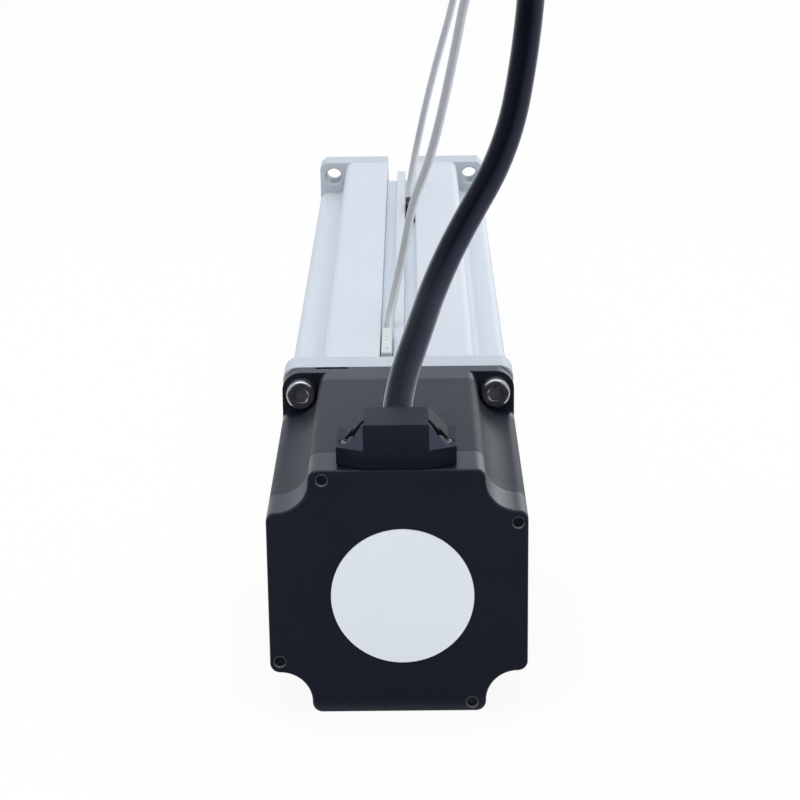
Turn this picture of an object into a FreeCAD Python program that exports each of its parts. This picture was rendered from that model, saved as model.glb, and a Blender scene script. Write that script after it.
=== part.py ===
import FreeCAD, Part
import math
import os

import Sketcher

# Electric cylinder with a square stepper motor, in millimetres.
# X is to the right, Y runs out along the rod and Z is up.
# The origin is the centre of the front flange's front face, on the rod's axis.

SIZES = [
    # Outside of the whole cylinder
    ("square", 56.4, "side of the motor, the plates and the tube"),
    ("bolt_pitch", 47.14, "side of the square that the four mounting holes stand on"),
    ("flange_thick", 11.0, "thickness of the front flange"),
    ("tube_length", 235.5, "length of the extruded tube"),
    ("plate_thick", 8.5, "thickness of the plate between the tube and the motor"),
    ("mflange_thick", 4.7, "thickness of the motor's square flange"),
    ("bell_length", 5.7, "length of the motor's front bell behind its flange"),
    ("stack_length", 53.6, "length of the stator's stack of laminations"),
    ("cap_length", 12.0, "length of the motor's rear cap"),
    ("fit_gap", 0.1, "radial gap of screws in holes and of parts that slide or turn"),
    ("air_gap", 0.3, "gap between the rotor and the stator"),
    # Extruded tube
    ("tube_arm", 19.2, "half width of the tube's upper and lower arms"),
    ("tube_wing", 17.8, "half height of the tube's side arms"),
    ("tube_round", 2.4, "radius of the tube's outer edges"),
    ("tube_hollow", 2.6, "radius in the tube's open corners"),
    ("bore_wide", 34.0, "diameter of the tube's bore"),
    ("channel_half", 4.65, "half width of the sensor channel"),
    ("ridge_half", 1.35, "half width of the ridge between the two sensor grooves"),
    ("ridge_drop", 3.1, "how far the ridge lies below the tube's top"),
    ("groove_deep", 6.4, "depth of the sensor grooves"),
    ("keyway_wide", 6.2, "width of the two keyways in the bore"),
    ("keyway_deep", 1.7, "depth of the two keyways in the bore"),
    ("tap_deep", 14.0, "depth of the screw holes in the tube's ends"),
    ("tie_side", 13.5, "sideways place of the screws in the tube's ends"),
    ("tie_rise", 22.6, "height of the screws in the tube's ends"),
    # Front flange and plate
    ("flange_bevel", 1.8, "size of the front flange's corner bevels"),
    ("notch_deep", 9.9, "depth of the notch that opens the sensor channel"),
    ("notch_round", 1.6, "radius in the bottom of that notch"),
    ("mount_hole", 5.3, "diameter of the four mounting holes"),
    ("hole_bevel", 0.5, "bevel round the mounting holes"),
    ("spigot_length", 22.0, "length of the flange's spigot in the bore"),
    ("plate_round", 3.2, "corner radius of the plate"),
    ("plate_bore", 22.0, "diameter of the hole in the plate"),
    ("screw_wide", 4.0, "diameter of the M4 screws"),
    ("head_wide", 7.0, "diameter of the M4 screw heads"),
    ("head_high", 4.0, "height of the M4 screw heads"),
    ("hex_wide", 3.0, "width across flats of the sockets in the M4 heads"),
    # Rod, bush and wiper
    ("rod_wide", 20.0, "diameter of the piston rod"),
    ("rod_out", 14.0, "how far the retracted rod stands out of the flange"),
    ("rod_bore", 14.8, "diameter of the bore in the rod"),
    ("rod_cap", 14.0, "length of the solid front end of the rod"),
    ("flat_across", 17.0, "width across the rod's wrench flats"),
    ("flat_length", 8.0, "length of the wrench flats"),
    ("stud_wide", 10.0, "diameter of the threaded stud"),
    ("stud_out", 22.0, "length of the stud in front of the rod"),
    ("stud_in", 12.0, "length of the stud inside the rod"),
    ("thread_core", 8.5, "diameter of the stud's thread core and of the holes it is screwed in"),
    ("nut_across", 16.0, "width across the flats of the lock nut"),
    ("nut_thick", 5.0, "thickness of the lock nut"),
    ("bush_wall", 2.0, "wall of the rod bush"),
    ("wiper_wide", 28.0, "outer diameter of the rod wiper"),
    ("wiper_deep", 7.0, "depth of the wiper's seat in the flange"),
    ("wiper_thick", 5.2, "thickness of the wiper"),
    ("ring_thick", 1.2, "thickness of the retaining rings"),
    ("shoulder_wide", 22.0, "diameter of the step between bush and wiper"),
    ("shoulder_thick", 2.0, "thickness of that step"),
    # Piston, nut and screw
    ("piston_length", 56.5, "length of the piston with its nut and magnet"),
    ("bumper_thick", 3.0, "thickness of the rubber bumpers"),
    ("stop_gap", 0.5, "gap left at each bumper"),
    ("piston_gap", 0.4, "radial gap between the piston and the bore"),
    ("nut_flange", 6.0, "thickness of the nut's flange"),
    ("nut_wide", 22.0, "diameter of the nut's barrel"),
    ("nut_length", 28.0, "length of the nut's barrel"),
    ("magnet_thick", 7.0, "length of the magnet ring"),
    ("socket_web", 4.5, "wall between the nut's barrel and the rod's socket"),
    ("wear_wide", 9.0, "width of the wear ring"),
    ("wear_deep", 1.5, "depth of the wear ring's groove"),
    ("key_wide", 6.0, "width of the guide keys"),
    ("key_length", 22.0, "length of the guide keys"),
    ("key_back", 0.75, "how far the guide keys lie behind the middle of their place"),
    ("key_deep", 3.4, "depth of the key seats in the piston"),
    ("shaft_wide", 12.0, "diameter of the drive screw"),
    ("tip_wide", 8.0, "diameter of the screw's front tip"),
    ("tip_bush", 7.0, "length of the bush on the screw's tip"),
    ("tip_reach", 43.0, "distance of the screw's tip behind the flange face"),
    # Bearings and rotor
    ("front_outer", 28.0, "outer diameter of the front bearing"),
    ("front_wide", 8.0, "width of the front bearing"),
    ("rear_outer", 22.0, "outer diameter of the rear bearing"),
    ("rear_inner", 8.0, "bore of the rear bearing"),
    ("rear_wide", 7.0, "width of the rear bearing"),
    ("race_thick", 2.2, "thickness of the bearing rings"),
    ("collar_wide", 16.0, "diameter of the collar behind the front bearing"),
    ("locknut_wide", 20.0, "diameter of the bearing's lock nut"),
    ("locknut_thick", 6.0, "thickness of the bearing's lock nut"),
    ("rotor_bore", 34.0, "bore of the stator"),
    ("core_magnet", 3.5, "thickness of the rotor's magnet"),
    ("core_setback", 5.05, "distance of the rotor's ends in from the stack's ends"),
    ("slot_deep", 6.5, "depth of the stator's winding slots"),
    ("turn_out", 2.4, "how far the windings stand out of the stack"),
    # Motor outside
    ("motor_arm", 19.07, "half width of the motor's upper and lower arms"),
    ("motor_wing", 18.7, "half height of the motor's side arms"),
    ("motor_round", 2.2, "radius of the motor's outer edges"),
    ("motor_hollow", 7.0, "radius in the motor's open corners"),
    ("mflange_round", 4.5, "corner radius of the motor's flange"),
    ("recess_side", 8.0, "distance of the flange's small recess from its side"),
    ("recess_wide", 8.0, "width of that recess"),
    ("recess_deep", 1.2, "depth of that recess"),
    ("cap_round", 0.6, "radius round the motor's rear face"),
    ("stud_side", 16.0, "sideways place of the motor's long screws"),
    ("stud_rise", 26.0, "height of the motor's long screws"),
    ("long_wide", 2.3, "diameter of the motor's long screws"),
    ("long_sink", 1.0, "how far the long screws' ends lie in their holes"),
    ("long_bevel", 0.2, "bevel of the long screws' holes in the motor's back"),
    ("sticker_wide", 31.0, "diameter of the round label"),
    ("sticker_thick", 0.3, "thickness of the round label"),
    # Cable gland
    ("gland_half", 12.9, "half width of the gland"),
    ("block_half", 7.05, "half width of the gland's raised block"),
    ("slope_half", 11.2, "half width at the foot of the gland's slopes"),
    ("gland_length", 16.3, "length of the gland"),
    ("ear_top", 4.3, "height of the gland's ears above the motor"),
    ("block_top", 9.8, "height of the gland's block above the motor"),
    ("block_short", 3.0, "how far the block's top ends behind the gland's front"),
    ("block_lean", 0.8, "how far the block's back leans forward up to its top"),
    ("corner_back", 2.8, "depth of the gland's cut rear corners"),
    ("gasket_thick", 0.5, "thickness of the gland's gasket"),
    ("ear_screw_side", 10.7, "sideways place of the gland's screws"),
    ("ear_screw_back", 6.5, "distance of the gland's screws from its rear face"),
    ("ear_head_wide", 3.1, "diameter of the gland's screw heads"),
    ("ear_head_high", 1.5, "height of the gland's screw heads"),
    ("ear_screw_wide", 2.0, "diameter of the gland's screws"),
    ("cable_wide", 6.5, "diameter of the motor cable"),
    ("cable_rise", 28.6, "upward angle of the cable's way out, in degrees"),
    ("cable_exit", 6.3, "height of the cable's way out above the motor"),
    ("cable_seat", 4.0, "depth of the cable in the gland"),
    ("sleeve_wall", 0.7, "wall of the rubber sleeve round the cable"),
    # Sensors
    ("sensor_wide", 2.9, "width of a sensor"),
    ("sensor_high", 5.6, "height of a sensor"),
    ("sensor_long", 23.0, "length of the near sensor"),
    ("sensor_short", 12.0, "length of the far sensor"),
    ("sensor_near", 5.3, "distance of the near sensor's rear end from the tube's rear end"),
    ("sensor_far", 62.5, "distance of the far sensor's front end from the flange face"),
    ("label_thick", 0.2, "thickness of the near sensor's label"),
    ("lead_wide", 2.25, "diameter of the sensor leads"),
    ("cable_plug", 8.4, "width and height of the motor cable's plug"),
    ("cable_plug_long", 12.0, "length of the motor cable's plug"),
    ("lead_plug", 4.2, "width and height of the leads' plugs"),
    ("lead_plug_long", 9.0, "length of the leads' plugs"),
]

doc = FreeCAD.newDocument("ElectricCylinder")
sheet = doc.addObject("Spreadsheet::Sheet", "Sizes")
for line, (alias, value, words) in enumerate(SIZES, 1):
    sheet.set("A%d" % line, words)
    sheet.set("B%d" % line, str(value))
    sheet.setAlias("B%d" % line, alias)
doc.recompute()


def number(value):
    """The plain number of a size or of a number."""
    return value.value if isinstance(value, Size) else float(value)


def formula(value):
    """The sheet's formula of a size or of a number."""
    return value.formula if isinstance(value, Size) else "(%.6f)" % value


class Size:
    """A length that keeps its number together with its formula on the sheet."""

    def __init__(self, value, text):
        self.value = float(value)
        self.formula = text

    def __add__(self, other):
        return Size(self.value + number(other), "(%s + %s)" % (self.formula, formula(other)))

    def __sub__(self, other):
        return Size(self.value - number(other), "(%s - %s)" % (self.formula, formula(other)))

    def __mul__(self, other):
        return Size(self.value * number(other), "(%s * %s)" % (self.formula, formula(other)))

    def __truediv__(self, other):
        return Size(self.value / number(other), "(%s / %s)" % (self.formula, formula(other)))

    def __rsub__(self, other):
        return Size(number(other) - self.value, "(%s - %s)" % (formula(other), self.formula))

    def __neg__(self):
        return Size(-self.value, "(0 - %s)" % self.formula)

    __radd__ = __add__
    __rmul__ = __mul__


class Sheet:
    """Gives each driving dimension by its name."""

    def __getattr__(self, alias):
        return Size(sheet.get(alias), "Sizes.%s" % alias)


S = Sheet()


class Circle:
    """A circle for a sketch."""

    def __init__(self, x, y, radius):
        self.x = x
        self.y = y
        self.radius = radius


# Helpers for bodies, sketches and features

def check(feature):
    """Recomputes the document and stops if the feature failed."""
    doc.recompute()
    if "Invalid" in feature.State or "Error" in feature.State:
        raise RuntimeError("%s of %s failed" % (feature.Name, feature.getParent().Label))
    return feature


def origin_part(body, role):
    """A plane or an axis of the body's own origin."""
    return [o for o in body.Origin.OriginFeatures if o.Role == role][0]


def new_body(label):
    """An empty body that may hold several separate solids."""
    body = doc.addObject("PartDesign::Body", label)
    body.Label = label
    body.AllowCompound = True
    return body


def place_point(sketch, geometry, end, x, y):
    """Ties one point of a sketch to the sheet in both directions."""
    for kind, value, axis in (("DistanceX", x, -2), ("DistanceY", y, -1)):
        if not isinstance(value, Size) and value == 0:
            sketch.addConstraint(Sketcher.Constraint("PointOnObject", geometry, end, axis))
            continue
        made = Sketcher.Constraint(kind, -1, 1, geometry, end, number(value))
        index = sketch.addConstraint(made)
        if isinstance(value, Size):
            sketch.setExpression("Constraints[%d]" % index, value.formula)


def draw(body, role, at, loops):
    """A sketch on one of the body's planes, with polygons and circles."""
    sketch = body.newObject("Sketcher::SketchObject", "Sketch")
    sketch.AttachmentSupport = [(origin_part(body, role), "")]
    sketch.MapMode = "FlatFace"
    shift = -at if role == "XZ_Plane" else at
    sketch.AttachmentOffset = FreeCAD.Placement(
        FreeCAD.Vector(0, 0, number(shift)), FreeCAD.Rotation()
    )
    if isinstance(shift, Size):
        sketch.setExpression("AttachmentOffset.Base.z", shift.formula)
    for loop in loops:
        if isinstance(loop, Circle):
            middle = FreeCAD.Vector(number(loop.x), number(loop.y), 0)
            axis = FreeCAD.Vector(0, 0, 1)
            made = sketch.addGeometry(Part.Circle(middle, axis, number(loop.radius)), False)
            place_point(sketch, made, 3, loop.x, loop.y)
            index = sketch.addConstraint(
                Sketcher.Constraint("Radius", made, number(loop.radius))
            )
            if isinstance(loop.radius, Size):
                sketch.setExpression("Constraints[%d]" % index, loop.radius.formula)
            continue
        spots = [FreeCAD.Vector(number(x), number(y), 0) for x, y in loop]
        sides = [
            Part.LineSegment(a, b) for a, b in zip(spots, spots[1:] + spots[:1])
        ]
        made = sketch.addGeometry(sides, False)
        for i, line in enumerate(made):
            after = made[(i + 1) % len(made)]
            sketch.addConstraint(Sketcher.Constraint("Coincident", line, 2, after, 1))
        for line, (x, y) in zip(made, loop):
            place_point(sketch, line, 1, x, y)
    return sketch


def pad(body, at, loops, length, role="XZ_Plane"):
    """Adds material from one plane along the positive axis."""
    feature = body.newObject("PartDesign::Pad", "Pad")
    feature.Profile = draw(body, role, at, loops)
    feature.Reversed = role == "XZ_Plane"
    feature.Length = number(length)
    if isinstance(length, Size):
        feature.setExpression("Length", length.formula)
    return check(feature)


def pocket(body, at, loops, length, role="XZ_Plane"):
    """Cuts material from one plane along the positive axis."""
    before = body.Shape.Volume
    feature = body.newObject("PartDesign::Pocket", "Pocket")
    feature.Profile = draw(body, role, at, loops)
    feature.Reversed = role != "XZ_Plane"
    feature.Length = number(length)
    if isinstance(length, Size):
        feature.setExpression("Length", length.formula)
    check(feature)
    if body.Shape.Volume > before - 1e-3:
        raise RuntimeError("%s of %s cuts nothing" % (feature.Name, body.Label))
    return feature


def turn(body, profile, kind="PartDesign::Revolution"):
    """Revolves a closed profile of (radius, Y) points about the Y axis."""
    feature = body.newObject(kind, kind.split("::")[1])
    sketch = draw(body, "XY_Plane", 0, [profile])
    feature.Profile = sketch
    feature.ReferenceAxis = (sketch, ["V_Axis"])
    feature.Angle = 360
    return check(feature)


def ring(body, inner, outer, start, length):
    """A plain ring about the Y axis."""
    end = start + length
    return turn(body, [(inner, start), (outer, start), (outer, end), (inner, end)])


def edges_at(body, spots, along=1):
    """Names of the straight edges along one axis that pass through given places."""
    found = []
    others = [i for i in range(3) if i != along]
    for i, edge in enumerate(body.Shape.Edges, 1):
        if len(edge.Vertexes) != 2:
            continue
        a, b = edge.Vertexes[0].Point, edge.Vertexes[1].Point
        if abs(a[along] - b[along]) < 0.05:
            continue
        for spot in spots:
            if all(
                abs(p[others[k]] - number(spot[k])) < 0.01 for p in (a, b) for k in (0, 1)
            ):
                found.append("Edge%d" % i)
    return found


def soften(body, names, size, kind="Fillet"):
    """Rounds or bevels edges of the body."""
    if not names:
        raise RuntimeError("no edges to soften on %s" % body.Label)
    base = body.Tip
    feature = body.newObject("PartDesign::%s" % kind, kind)
    feature.Base = (base, names)
    field = "Radius" if kind == "Fillet" else "Size"
    setattr(feature, field, number(size))
    feature.setExpression(field, size.formula)
    return check(feature)


def around(body, originals, count):
    """Repeats features round the Y axis."""
    feature = body.newObject("PartDesign::PolarPattern", "PolarPattern")
    feature.Originals = originals
    feature.Axis = (origin_part(body, "Y_Axis"), [""])
    feature.Angle = 360
    feature.Occurrences = count
    body.Tip = feature
    return check(feature)


def box(x0, x1, y0, y1):
    """A rectangle for a sketch."""
    return [(x0, y0), (x1, y0), (x1, y1), (x0, y1)]


def hexagon(x, y, across):
    """A hexagon for a sketch, two of its sides level."""
    loop = []
    for i in range(6):
        angle = math.radians(60 * i)
        reach = across / math.sqrt(3)
        loop.append((x + reach * math.cos(angle), y + reach * math.sin(angle)))
    return loop


def cross(arm, wing, half):
    """Outline of a square whose four corners are open."""
    return [
        (-arm, half),
        (arm, half),
        (arm, wing),
        (half, wing),
        (half, -wing),
        (arm, -wing),
        (arm, -half),
        (-arm, -half),
        (-arm, -wing),
        (-half, -wing),
        (-half, wing),
        (-arm, wing),
    ]


def four(x, y):
    """The same place in all four quarters."""
    return [(x, y), (-x, y), (-x, -y), (x, -y)]


# Places along the axis

half = S.square / 2
tube_front = -S.flange_thick
tube_rear = tube_front - S.tube_length
plate_rear = tube_rear - S.plate_thick
mflange_rear = plate_rear - S.mflange_thick
bell_rear = mflange_rear - S.bell_length
stack_rear = bell_rear - S.stack_length
motor_rear = stack_rear - S.cap_length
bore = S.bore_wide / 2
pitch = S.bolt_pitch / 2
corners = four(pitch, pitch)
ties = four(S.tie_side, S.tie_rise)
screw = S.screw_wide / 2
screw_hole = screw + S.fit_gap
head_room = S.head_wide / 2 + 2 * S.fit_gap
rod = S.rod_wide / 2
spigot_rear = tube_front - S.spigot_length
nut_rear = tube_rear + S.bumper_thick + S.stop_gap
piston_front = nut_rear + S.piston_length
stroke = spigot_rear - S.bumper_thick - S.stop_gap - piston_front
piston_half = bore - S.piston_gap
shaft = S.shaft_wide / 2
groove_floor = half - S.groove_deep


def cap_screws(label, places, face, reach):
    """Socket head screws whose heads stand behind a face and point along Y."""
    body = new_body(label)
    head = S.head_wide / 2
    pad(body, face - S.head_high, [Circle(x, z, head) for x, z in places], S.head_high)
    soft = [
        "Edge%d" % i
        for i, edge in enumerate(body.Shape.Edges, 1)
        if edge.Vertexes[0].Point.y < number(face) - number(S.head_high) + 0.01
        and edge.Vertexes[-1].Point.y < number(face) - number(S.head_high) + 0.01
    ]
    soften(body, soft, S.head_high / 9, "Chamfer")
    pad(body, face, [Circle(x, z, screw) for x, z in places], reach)
    sockets = [hexagon(x, z, S.hex_wide) for x, z in places]
    pocket(body, face - S.head_high, sockets, S.head_high / 2)
    return body


# Front flange: plate, spigot in the bore, notch for the sensor channel
front_flange = new_body("front_flange")
pad(front_flange, tube_front, [box(-half, half, -half, half)], S.flange_thick)
soften(front_flange, edges_at(front_flange, four(half, half)), S.flange_bevel, "Chamfer")
pad(front_flange, spigot_rear, [Circle(0, 0, bore - S.fit_gap)], S.spigot_length)
notch_floor = half - S.notch_deep
pocket(
    front_flange,
    tube_front,
    [box(-S.channel_half, S.channel_half, notch_floor, half + 1)],
    S.flange_thick,
)
notch_edges = edges_at(
    front_flange, [(S.channel_half, notch_floor), (-S.channel_half, notch_floor)]
)
soften(front_flange, notch_edges, S.notch_round)
bush_front = -(S.wiper_deep + S.shoulder_thick)
bush_outer = rod + S.bush_wall
turn(
    front_flange,
    [
        (0, spigot_rear),
        (bush_outer + S.fit_gap, spigot_rear),
        (bush_outer + S.fit_gap, bush_front),
        (S.shoulder_wide / 2, bush_front),
        (S.shoulder_wide / 2, -S.wiper_deep),
        (S.wiper_wide / 2 + S.fit_gap, -S.wiper_deep),
        (S.wiper_wide / 2 + S.fit_gap, 0),
        (0, 0),
    ],
    "PartDesign::Groove",
)
wiper_front = S.wiper_thick - S.wiper_deep
clip_outer = S.wiper_wide / 2 + 0.7
turn(
    front_flange,
    box(
        S.wiper_wide / 2,
        clip_outer + S.fit_gap,
        wiper_front,
        wiper_front + S.ring_thick + S.fit_gap,
    ),
    "PartDesign::Groove",
)
mount_holes = [Circle(x, z, S.mount_hole / 2) for x, z in corners]
pocket(front_flange, tube_front, mount_holes, S.flange_thick)
hole_rims = [
    "Edge%d" % i
    for i, edge in enumerate(front_flange.Shape.Edges, 1)
    if isinstance(edge.Curve, Part.Circle)
    and abs(edge.Curve.Radius - number(S.mount_hole) / 2) < 1e-6
]
soften(front_flange, hole_rims, S.hole_bevel, "Chamfer")
pocket(
    front_flange, tube_front, [Circle(x, z, screw_hole) for x, z in ties], S.flange_thick
)
sink = S.head_high + 0.5
pocket(front_flange, -sink, [Circle(x, z, head_room) for x, z in ties], sink)

# Screws of the front flange, heads in front
flange_screws = new_body("flange_screws")
head_circles = [Circle(x, z, S.head_wide / 2) for x, z in ties]
pad(flange_screws, -sink, head_circles, S.head_high)
pad(
    flange_screws,
    tube_front - S.tap_deep + 2,
    [Circle(x, z, screw) for x, z in ties],
    S.tap_deep - 2 + S.flange_thick - sink,
)
pocket(
    flange_screws,
    -sink + S.head_high / 2,
    [hexagon(x, z, S.hex_wide) for x, z in ties],
    S.head_high / 2,
)

# Extruded tube with the double sensor groove and two keyways
cylinder_tube = new_body("cylinder_tube")
outline = cross(S.tube_arm, S.tube_wing, half)
channel = [
    (-S.channel_half, half),
    (-S.channel_half, groove_floor),
    (-S.ridge_half, groove_floor),
    (-S.ridge_half, half - S.ridge_drop),
    (S.ridge_half, half - S.ridge_drop),
    (S.ridge_half, groove_floor),
    (S.channel_half, groove_floor),
    (S.channel_half, half),
]
pad(cylinder_tube, tube_rear, [outline[:1] + channel + outline[1:]], S.tube_length)
tube_outer = four(S.tube_arm, half) + four(half, S.tube_wing)
soften(cylinder_tube, edges_at(cylinder_tube, tube_outer), S.tube_round)
tube_inner = four(S.tube_arm, S.tube_wing)
soften(cylinder_tube, edges_at(cylinder_tube, tube_inner), S.tube_hollow)
lips = [(-S.channel_half, half), (S.channel_half, half)]
soften(cylinder_tube, edges_at(cylinder_tube, lips), S.ridge_half / 4, "Chamfer")
pocket(cylinder_tube, tube_rear, [Circle(0, 0, bore)], S.tube_length)
key_reach = bore + S.keyway_deep
pocket(
    cylinder_tube,
    tube_rear,
    [box(-key_reach, key_reach, -S.keyway_wide / 2, S.keyway_wide / 2)],
    S.tube_length,
)
taps = [Circle(x, z, screw_hole) for x, z in ties]
pocket(cylinder_tube, tube_rear, taps, S.tap_deep)
pocket(cylinder_tube, tube_front - S.tap_deep, taps, S.tap_deep)

# Plate between the tube and the motor
rear_plate = new_body("rear_adapter_plate")
pad(rear_plate, plate_rear, [box(-half, half, -half, half)], S.plate_thick)
soften(rear_plate, edges_at(rear_plate, four(half, half)), S.plate_round)
pocket(
    rear_plate,
    plate_rear,
    [Circle(0, 0, S.plate_bore / 2)] + [Circle(x, z, screw_hole) for x, z in corners + ties],
    S.plate_thick,
)
pocket(rear_plate, plate_rear, [Circle(x, z, head_room) for x, z in ties], sink)

# Screws from the plate into the tube, heads sunk under the motor's flange
cap_screws("plate_screws", ties, plate_rear + sink, S.plate_thick - sink + S.tap_deep - 2)

# Motor: square flange and front bell in one casting
bell = new_body("motor_front_bell")
motor_inner = four(S.motor_arm, S.motor_wing)
motor_outer = four(S.motor_arm, half) + four(half, S.motor_wing)
pad(bell, bell_rear, [cross(S.motor_arm, S.motor_wing, half)], S.bell_length)
soften(bell, edges_at(bell, motor_inner), S.motor_hollow)
soften(bell, edges_at(bell, motor_outer), S.motor_round)
pad(bell, mflange_rear, [box(-half, half, -half, half)], S.mflange_thick)
soften(bell, edges_at(bell, four(half, half)), S.mflange_round)
bearing_rear = plate_rear - S.front_wide
collar_rear = bell_rear - 2
turn(
    bell,
    [
        (0, bell_rear),
        (S.collar_wide / 2 + 0.5, bell_rear),
        (S.collar_wide / 2 + 0.5, bearing_rear),
        (S.front_outer / 2 + S.fit_gap, bearing_rear),
        (S.front_outer / 2 + S.fit_gap, plate_rear),
        (0, plate_rear),
    ],
    "PartDesign::Groove",
)
turn_room = S.turn_out + 0.6
winding_in = S.rotor_bore / 2 + 1
winding_out = S.rotor_bore / 2 + S.slot_deep + 0.5
turn(
    bell,
    box(winding_in - 0.6, winding_out, bell_rear, bell_rear + turn_room),
    "PartDesign::Groove",
)
long_places = [
    (-S.stud_side, S.stud_rise),
    (S.stud_rise, S.stud_side),
    (S.stud_side, -S.stud_rise),
    (-S.stud_rise, -S.stud_side),
]
long_hole = S.long_wide / 2 + S.fit_gap
long_head = S.long_wide / 2 + 0.75
long_holes = [Circle(x, z, long_hole) for x, z in long_places]
pocket(bell, bell_rear, long_holes, S.bell_length + S.mflange_thick)
long_seats = [Circle(x, z, long_head + S.fit_gap) for x, z in long_places]
pocket(bell, plate_rear - 2.2, long_seats, 2.2)
pocket(bell, mflange_rear, [Circle(x, z, screw_hole) for x, z in corners], S.mflange_thick)
recess_start = S.recess_side - half
recess = box(recess_start, recess_start + S.recess_wide, half - S.recess_deep, half + 1)
pocket(bell, plate_rear - S.mflange_thick / 3, [recess], S.mflange_thick / 3)

# Screws that hold the motor to the plate, heads behind the motor's flange
cap_screws("motor_screws", corners, mflange_rear, S.mflange_thick + S.plate_thick - 0.5)

# Stator: stack of laminations with eight poles
stator = new_body("stator_stack")
pad(stator, stack_rear, [cross(S.motor_arm, S.motor_wing, half)], S.stack_length)
soften(stator, edges_at(stator, motor_inner), S.motor_hollow)
soften(stator, edges_at(stator, motor_outer), S.motor_round)
pocket(stator, stack_rear, [Circle(0, 0, S.rotor_bore / 2)], S.stack_length)
slot_in = S.rotor_bore / 2
slot_out = S.rotor_bore / 2 + S.slot_deep
mouth = [
    (slot_in - 1, -1.2),
    (slot_in + 1, -1.2),
    (slot_in + 1, -3.6),
    (slot_out, -5.4),
    (slot_out, 5.4),
    (slot_in + 1, 3.6),
    (slot_in + 1, 1.2),
    (slot_in - 1, 1.2),
]
slot = pocket(stator, stack_rear, [mouth], S.stack_length)
around(stator, [slot], 8)
pocket(stator, stack_rear, long_holes, S.stack_length)

# Windings: a coil round each of the eight poles
windings = new_body("stator_windings")
coil_start = stack_rear - S.turn_out
coil_length = S.stack_length + 2 * S.turn_out
half_angle = math.radians(22.5)


def tilted(radius, side):
    """A point beside the axis of the first pole."""
    x = radius * math.cos(half_angle) - side * math.sin(half_angle)
    z = radius * math.sin(half_angle) + side * math.cos(half_angle)
    return (x, z)


pole = [
    tilted(winding_in + 0.6, -4.9),
    tilted(slot_out - 1.2, -6.2),
    tilted(slot_out - 1.2, 6.2),
    tilted(winding_in + 0.6, 4.9),
]
neck = [
    tilted(winding_in, -4.0),
    tilted(slot_out, -4.6),
    tilted(slot_out, 4.6),
    tilted(winding_in, 4.0),
]
coil = pad(windings, coil_start, [pole], coil_length)
window = pocket(windings, stack_rear - 0.1, [neck], S.stack_length + 0.2)
around(windings, [coil, window], 8)

# Rear cap: closed back, seat of the rear bearing, opening for the wires
rear_cap = new_body("motor_rear_cap")
pad(rear_cap, motor_rear, [cross(S.motor_arm, S.motor_wing, half)], S.cap_length)
soften(rear_cap, edges_at(rear_cap, motor_inner), S.motor_hollow)
soften(rear_cap, edges_at(rear_cap, motor_outer), S.motor_round)
rear_seat = stack_rear - S.rear_wide - 2
turn(
    rear_cap,
    [
        (0, rear_seat),
        (S.rear_outer / 2 + S.fit_gap, rear_seat),
        (S.rear_outer / 2 + S.fit_gap, stack_rear),
        (0, stack_rear),
    ],
    "PartDesign::Groove",
)
turn(
    rear_cap,
    box(winding_in - 0.6, winding_out, stack_rear - turn_room, stack_rear),
    "PartDesign::Groove",
)
pocket(rear_cap, motor_rear, long_holes, S.cap_length)
wire_way = box(-4, 4, stack_rear - turn_room, stack_rear)
pocket(rear_cap, winding_out - 1, [wire_way], half, role="XY_Plane")
rim = []
bevels = []
for i, edge in enumerate(rear_cap.Shape.Edges, 1):
    if any(abs(p.Point.y - number(motor_rear)) > 1e-6 for p in edge.Vertexes):
        continue
    if isinstance(edge.Curve, Part.Circle) and edge.Curve.Radius < number(S.long_wide):
        if len(edge.Vertexes) == 1:
            bevels.append("Edge%d" % i)
            continue
    rim.append("Edge%d" % i)
soften(rear_cap, rim, S.cap_round)
bevels = [
    "Edge%d" % i
    for i, edge in enumerate(rear_cap.Shape.Edges, 1)
    if isinstance(edge.Curve, Part.Circle)
    and len(edge.Vertexes) == 1
    and abs(edge.Vertexes[0].Point.y - number(motor_rear)) < 1e-6
]
soften(rear_cap, bevels, S.long_bevel, "Chamfer")

# Long screws that hold the motor together, their ends sunk in the rear holes
long_screws = new_body("motor_long_screws")
long_rear = motor_rear + S.long_sink
head_back = plate_rear - 2.1
pad(
    long_screws,
    long_rear,
    [Circle(x, z, S.long_wide / 2) for x, z in long_places],
    head_back - long_rear,
)
pad(long_screws, head_back, [Circle(x, z, long_head) for x, z in long_places], 2)

# Round label on the motor's back, left bare
sticker = new_body("rear_label")
pad(
    sticker,
    motor_rear - S.sticker_thick,
    [Circle(1.0, -0.7, S.sticker_wide / 2)],
    S.sticker_thick,
)

rear_bearing = stack_rear - S.rear_wide


# Sealed bearings: two rings with a shield and a row of balls between them
def sealed_bearing(name, inner, outer, start, width):
    """A sealed ball bearing; its inner ring turns with the screw."""
    outside = new_body("%s_outer_ring" % name)
    ring(outside, outer - S.race_thick, outer, start, width)
    inside = new_body("%s_inner_ring" % name)
    ring(inside, inner, inner + S.race_thick, start, width)
    row = new_body("%s_balls" % name)
    middle = (outer + inner) / 2
    ball = (outer - inner - 2 * S.race_thick) / 2 - S.fit_gap
    centre = start + width / 2
    sphere = row.newObject("PartDesign::AdditiveSphere", "Ball")
    sphere.Radius = number(ball)
    sphere.setExpression("Radius", ball.formula)
    sphere.Placement.Base = FreeCAD.Vector(number(middle), number(centre), 0)
    sphere.setExpression("Placement.Base.x", middle.formula)
    sphere.setExpression("Placement.Base.y", centre.formula)
    check(sphere)
    around(row, [sphere], 8)
    return outside, inside, row


sealed_bearing(
    "front_bearing", shaft + S.fit_gap / 2, S.front_outer / 2, bearing_rear, S.front_wide
)
sealed_bearing(
    "rear_bearing",
    S.rear_inner / 2 + S.fit_gap / 2,
    S.rear_outer / 2,
    rear_bearing,
    S.rear_wide,
)

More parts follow.
